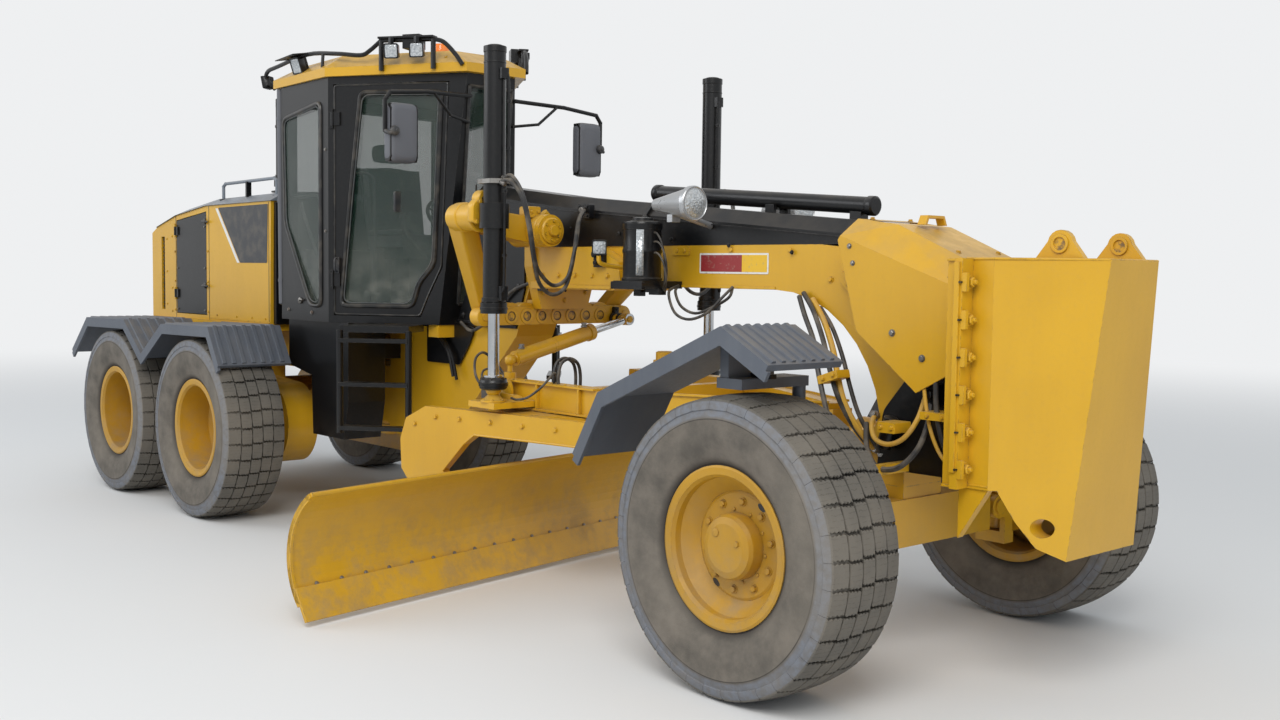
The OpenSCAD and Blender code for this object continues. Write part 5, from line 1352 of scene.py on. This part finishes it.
bolts = Shape()
face_dir = Vector(turned(1, 0, 0)) - Vector(turned(0, 0, 0))
for k in range(26):
    y = -2050 + k * 164
    x, z = blade_face(-31, 0)
    bolts.lathe(on_blade(x + 14, y, z - 10), face_dir + Vector((0, 0, 0.9)), [(0, 15), (4, 14), (6, 9)], 14)
    x, z = blade_face(-24, 0)
    bolts.lathe(on_blade(x + 2, y + 60, z), face_dir + Vector((0, 0, 0.6)), [(0, 13), (4, 12), (6, 8)], 14)
piece("blade_edge_bolts", bolts, steel, "moldboard")
ends = Shape()
for s in (-1, 1):
    outline = [blade_face(a, -23) for a in range(56, -39, -6)] + [blade_face(a, 8)
        for a in range(-38, 57, 6)]
    ends.skin([[on_blade(x, y, z) for x, z in outline] for y in (s * 2117, s * 2135)])
x, z = blade_face(57, -11)
ends.tube([on_blade(x, y, z) for y in (-2130, 2130)], 13, 10, 0)
piece("blade_end_plates", ends, yellow_paint, "moldboard")

# Hydraulic hoses and fittings
def crimp(shape, start, ahead, size=1.0):
    """A hose end: crimped ferrule and a hexagon nut."""
    ahead = Vector(ahead).normalized()
    start = Vector(start)
    shape.lathe(start, ahead, [(0, 13 * size), (22 * size, 13 * size)], 6)
    shape.lathe(start + ahead * 22 * size, ahead, [(0, 15 * size), (2, 16.5 * size),
        (34 * size, 16.5 * size), (37 * size, 13 * size)], 16)


ends = Shape()
for side, sign in SIDES:
    y = sign * 860
    for k, (out, low, reach) in enumerate(((0, 1690, 0), (44, 1742, 36))):
        top = (3960, y + sign * (18 - out * 0.5), 2318 + k * 22)
        hose(f"lift_hose_{side}_{k + 1}", [top, (4030, y + sign * (6 - out * 0.4), 2322 + k * 26),
            (4104, y - sign * (18 + out * 0.2), 2242 + k * 12), (4130, y - sign * (50 + out * 0.2), 2090),
            (4120, y - sign * (100 + out * 0.2), 1880), (4078, y - sign * (175 + out * 0.2), low + 60),
            (4066, y - sign * (275 + out * 0.2), low), (4054, y - sign * (380 + out * 0.3), low + 46),
            (4044, y - sign * (440 + out * 0.2), low + 190), (4030, y - sign * (470 + out * 0.2), 2000),
            (3992, y - sign * (520 + out * 0.2), 2110 + reach * 0.3), (3940, y - sign * (590 + out * 0.2),
            2170), (3880, y - sign * (655 + out * 0.2), 2190)], 23)
    crimp(ends, (3948, y + sign * 20, 2322), (1, -sign * 0.2, -0.35), 0.9)
    crimp(ends, (3948, y - sign * 4, 2344), (1, -sign * 0.2, -0.35), 0.9)
    for k in range(2):
        crimp(ends, (3872 - k * 4, y - sign * (664 + k * 10), 2194), (0.5, sign * 1.0, -0.1), 0.9)
piece("lift_hose_ends", ends, steel)
manifold = Shape()
for sign in (-1, 1):
    manifold.prism(pad(3820, 3930, 2140, 2226, 10), sign * 164, sign * 206)
    for x, z in ((3838, 2156), (3912, 2156), (3838, 2210), (3912, 2210)):
        manifold.bolt((x, sign * 206, z), (0, sign, 0), 8, x)
    manifold.box(4040, 4130, sign * 236, sign * 262, 1850, 1950)
    manifold.lathe((4085, sign * 262, 1925), (0, sign, 0), [(0, 20), (40, 20), (44, 12)], 16)
    manifold.lathe((4085, sign * 262, 1875), (0, sign, 0), [(0, 15), (30, 15), (34, 8)], 16)
piece("saddle_manifolds", manifold, black_paint, bevel=2)

# beside the lift balls on the drawbar
y = -ARM_Y
hose("ball_hose_1", [(3712, y + 92, 1128), (3640, y + 90, 1146), (3560, y + 100, 1206),
    (3500, y + 140, 1292), (3474, y + 210, 1330), (3476, y + 280, 1290), (3510, y + 322, 1222),
    (3560, y + 330, 1176)], 16, "drawbar")
hose("ball_hose_2", [(3712, y + 126, 1118), (3640, y + 128, 1130), (3556, y + 150, 1172),
    (3496, y + 200, 1220), (3490, y + 262, 1232), (3524, y + 304, 1206), (3584, y + 316, 1174)], 14,
    "drawbar")
hose("ball_hose_3", [(3972, y + 60, 1102), (4050, y + 40, 1100), (4124, y + 62, 1118), (4168, y + 124, 1176),
    (4168, y + 196, 1238), (4126, y + 252, 1246), (4082, y + 280, 1212), (4064, y + 284, 1176)], 14,
    "drawbar")
valve = Shape()
valve.lathe((3690, -735, 1098), UP, [(0, 34), (54, 34), (58, 24), (88, 22)], 20)
valve.box(3660, 3724, -790, -720, 1078, 1148)
for y in (-768, -734):
    valve.lathe((3724, y, 1122), ALONG, [(0, 15), (20, 15), (22, 11), (34, 11)], 6)
piece("drawbar_port_block", valve, cast_iron, "drawbar", bevel=3)

# grease lines and hoses on the beam
for k, (a, b, c) in enumerate(((4648, 2040, 8), (4656, 1990, 30), (4640, 1930, 56))):
    hose(f"grease_line_{k + 1}", [(a - 8, -352, b), (a + 34 + c * 0.4, -352, b - 4),
        (a + 70 + c * 0.5, -346, b - 60), (a + 74 + c * 0.5, -330, b - 150), (a + 50, -300, 1748 - c * 0.2),
        (a + 6, -262, 1716), (a - 40, -232, 1728), (a - 60, -190, 1760)], 11)
for k, (drop, out) in enumerate(((1606, 250), (1574, 300))):
    hose(f"beam_loop_{k + 1}", [(4680, -178, 1752), (4700, -out + 30, 1716), (4780, -out, drop + 34),
        (4900, -out - 6, drop), (5020, -out + 14, drop + 40), (5084, -out + 60, 1696), (5100, -178, 1752)],
        16)
for k, sign in enumerate((-1, 1)):
    hose(f"cab_beam_hose_{k + 1}", [(2560, sign * 186, 1470), (2700, sign * 196, 1420),
        (2860, sign * 200, 1480), (3000, sign * 196, 1600), (3160, sign * 186, 1700),
        (3330, sign * 172, 1752)], 22)

# under the nose: hoses run down from the beam to the front axle, each with its diameter and finish
NOSE_RUNS = [
    ([(5560, 168, 1712), (5640, 216, 1620), (5740, 262, 1500), (5800, 300, 1380), (5860, 330, 1260),
        (5920, 352, 1140), (5980, 360, 1010)], 26, hose_rubber),
    ([(5590, 170, 1730), (5700, 218, 1640), (5800, 258, 1500), (5870, 286, 1360), (5930, 290, 1230),
        (5990, 250, 1100), (6040, 174, 990)], 26, hose_rubber),
    ([(5650, 170, 1700), (5760, 206, 1590), (5850, 240, 1450), (5900, 262, 1330), (5950, 270, 1210),
        (6010, 240, 1090), (6074, 174, 980)], 30, cable_yellow),
    ([(5700, 168, 1660), (5800, 190, 1560), (5890, 215, 1420), (5950, 232, 1290), (6010, 236, 1160),
        (6070, 214, 1050), (6110, 174, 960)], 22, hose_rubber),
    ([(5960, 372, 1050), (5896, 388, 1108), (5812, 380, 1112), (5752, 346, 1050), (5768, 290, 990),
        (5870, 222, 955), (5990, 172, 965)], 18, hose_rubber),
    ([(6080, 262, 1120), (6150, 340, 1010), (6250, 390, 940), (6360, 380, 950), (6430, 330, 1040),
        (6450, 280, 1170), (6430, 230, 1290)], 27, hose_rubber),
    ([(6056, 172, 1148), (6110, 260, 1110), (6180, 320, 1060), (6270, 340, 1045), (6350, 330, 1080),
        (6400, 296, 1170), (6410, 240, 1300)], 24, cable_yellow),
    ([(6500, 296, 1440), (6514, 322, 1320), (6540, 338, 1180), (6582, 338, 1060),
        (6640, 312, 968)], 26, hose_rubber),
    ([(6560, 296, 1450), (6574, 314, 1330), (6592, 326, 1190), (6614, 326, 1070),
        (6648, 318, 990)], 20, hose_rubber),
    ([(6420, 296, 1440), (6440, 312, 1340), (6470, 326, 1220), (6500, 328, 1120), (6544, 322, 1030),
        (6600, 312, 972), (6648, 302, 944)], 18, cable_yellow),
]
for side, sign in SIDES:
    for k, (points, size, finish) in enumerate(NOSE_RUNS):
        hose(f"nose_hose_{side}_{k + 1}", flip(sign, *points), size, finish=finish)
    plumbing = Shape()
    plumbing.prism(pad(6230, 6330, 1100, 1150, 6, 2), sign * 250, sign * 372)
    for x in (6250, 6310):
        plumbing.bolt((x, sign * 372, 1125), (0, sign, 0), 10, x)
    plumbing.prism(rounded([(5840, 1290), (5960, 1330), (5950, 1370), (5830, 1330)], 6, 2), sign * 240,
        sign * 336)
    for x, z in ((5868, 1322), (5930, 1344)):
        plumbing.bolt((x, sign * 336, z), (0, sign, 0), 10, x)
    plumbing.prism(pad(6460, 6620, 1180, 1216, 6, 2), sign * 240, sign * 366)
    plumbing.bolt((6500, sign * 366, 1198), (0, sign, 0), 9)
    plumbing.bolt((6580, sign * 366, 1198), (0, sign, 0), 9)
    piece(f"nose_hose_clamps_{side}", plumbing, yellow_paint, bevel=2)
    dark = Shape()
    # Painted shade: the large black plate stands for the dark space inside the nose frame, behind the hoses.
    # The valve boxes, port and two canisters on it are parts.
    dark.prism(rounded([(6090, 900), (6690, 900), (6690, 1500), (6540, 1500), (6300, 1400), (6120, 1180)],
        30, 4), sign * 178, sign * 190)
    dark.box(6400, 6480, sign * 190, sign * 262, 1240, 1330)
    dark.lathe((6440, sign * 262, 1285), (0, sign, 0), [(0, 26), (26, 26), (30, 18)], 18)
    dark.box(6540, 6640, sign * 190, sign * 240, 1300, 1420)
    dark.lathe((6560, sign * 226, 980), UP, [(0, 44), (180, 44), (190, 30)], 24)
    dark.lathe((6160, sign * 230, 1010), (0.3, 0, 1), [(0, 36), (150, 36), (158, 22)], 22)
    piece(f"nose_valves_and_shade_plate_{side}", dark, black_paint, bevel=3)
joints = Shape()
for sign in (-1, 1):
    joints.lathe((5990, sign * 360, 985), (-0.2, 0, 1), [(0, 18), (26, 18), (27, 15), (46, 15)], 12)
    for x, z in ((6040, 990), (6074, 980), (6110, 960), (5990, 965), (6056, 1148)):
        joints.lathe((x, sign * 152, z), (0, sign, 0.3), [(0, 20), (20, 20), (21, 16), (40, 16)], 12)
    for x, y, z in ((6430, 230, 1290), (6410, 240, 1300)):
        joints.lathe((x, sign * (y - 22), z), (0, sign, 0), [(0, 18), (24, 18), (25, 14), (34, 14)], 12)
piece("nose_hose_ends", joints, steel)

# Guards on the frame's sides
for side, sign in SIDES:
    frame_side = Shape()
    panel = [(2120, 1180), (2520, 1180), (2640, 1330), (2700, 1440), (2460, 1470), (2120, 1470)]
    frame_side.prism(rounded(panel, 14, 3), sign * 160.5, sign * 172)
    frame_side.tube(flip(sign, (2180, 190, 1440), (2300, 200, 1380), (2440, 204, 1260), (2500, 204, 1100)),
        14, 10, 5)
    frame_side.tube(flip(sign, (2240, 190, 1440), (2350, 200, 1370), (2480, 204, 1240), (2540, 204, 1080)),
        11, 10, 5)
    piece(f"frame_side_guard_{side}", frame_side, black_paint, bevel=3)


# Floor, light and camera
PALE = (0.78, 0.78, 0.775)
BACKDROP = (0.86, 0.87, 0.88, 1.0)
FADE_FROM, FADE_TO = 6.0, 24.0
FLOOR_HALF = 60


def floor_finish():
    """A pale floor, seen in the backdrop's own colour far from the machine, so no horizon shows."""
    f = Finish("floor_pale", Roughness=0.9)
    f.done(f.blend(f.cloud(0.8, 3.0) * 0.3, PALE, tuple(c * 0.97 for c in PALE)))
    distance = f.node("ShaderNodeVectorMath", {"operation": "LENGTH"}, {0: f.stretched(1.0, 1.0, 0.0)},
        out=1)
    far = distance.between(FADE_FROM, FADE_TO) * f.node("ShaderNodeLightPath")
    glow = f.node("ShaderNodeEmission", None, {"Color": BACKDROP})
    mix = f.node("ShaderNodeMixShader", None, {0: far})
    shaders = mix.socket.node.inputs
    f.tree.links.new(f.surface.outputs[0], shaders[1])
    f.tree.links.new(glow.socket, shaders[2])
    f.tree.links.new(mix.socket, f.tree.nodes["Material Output"].inputs["Surface"])
    return f.material


floor_mesh = bpy.data.meshes.new("floor")
floor_mesh.from_pydata([(x * FLOOR_HALF, y * FLOOR_HALF, 0) for x, y in ((-1, -1), (1, -1), (1, 1),
    (-1, 1))], [], [(0, 1, 2, 3)])
floor_mesh.materials.append(floor_finish())
placed("floor", floor_mesh)

# The world lights the machine in a cool grey, and shows the backdrop to camera, glossy and transmission rays.
world = bpy.data.worlds.new("studio")
bpy.context.scene.world = world
world.use_nodes = True
sky = world.node_tree
light = sky.nodes["Background"]
seen = sky.nodes.new("ShaderNodeBackground")
for background, colour, strength in ((light, (0.90, 0.95, 1.0, 1.0), 0.62), (seen, BACKDROP, 1.0)):
    background.inputs["Color"].default_value = colour
    background.inputs["Strength"].default_value = strength
rays = sky.nodes.new("ShaderNodeLightPath").outputs
shown = rays["Is Camera Ray"]
for ray in ("Is Transmission Ray", "Is Glossy Ray"):
    either = sky.nodes.new("ShaderNodeMath")
    either.operation = "MAXIMUM"
    sky.links.new(shown, either.inputs[0])
    sky.links.new(rays[ray], either.inputs[1])
    shown = either.outputs[0]
pick = sky.nodes.new("ShaderNodeMixShader")
for k, output in enumerate((shown, light.outputs[0], seen.outputs[0])):
    sky.links.new(output, pick.inputs[k])
sky.links.new(pick.outputs[0], sky.nodes["World Output"].inputs["Surface"])


def soft_light(name, where, size, watts, colour):
    """A large lamp aimed at the machine's middle."""
    data = bpy.data.lights.new(name, "AREA")
    data.shape = "RECTANGLE"
    data.size, data.size_y = size
    data.energy = watts
    data.color = colour
    lamp = placed(name, data)
    lamp.location = where
    lamp.rotation_euler = (Vector(UP) - Vector(where)).to_track_quat("-Z", "Y").to_euler()


soft_light("key_light", (9.0, -9.0, 11.0), (8, 8), 1250, (1.0, 0.98, 0.95))
soft_light("fill_light", (-8.0, -10.0, 7.0), (8, 6), 400, (0.95, 0.97, 1.0))

# The camera that was solved from the photograph.
SENSOR = 36.0
LENS = 37.21
CAMERA_PLACE = (7.281, -5.258, 1.825)
YAW, PITCH, ROLL = (math.radians(a) for a in (138.0576, -3.8050, 0.7277))
ahead = Vector((math.cos(YAW) * math.cos(PITCH), math.sin(YAW) * math.cos(PITCH), math.sin(PITCH)))
level = Vector((math.sin(YAW), -math.cos(YAW), 0.0))
upward = level.cross(ahead)
right = level * math.cos(ROLL) + upward * math.sin(ROLL)
above = upward * math.cos(ROLL) - level * math.sin(ROLL)
camera_data = bpy.data.cameras.new("camera")
camera_data.sensor_width = SENSOR
camera_data.lens = LENS
camera_data.clip_end = 200.0
camera = placed("camera", camera_data)
camera.matrix_world = Matrix.Translation(CAMERA_PLACE) @ Matrix((right, above, -ahead)).transposed().to_4x4()
bpy.context.scene.camera = camera
bpy.context.scene.view_settings.view_transform = "Standard"
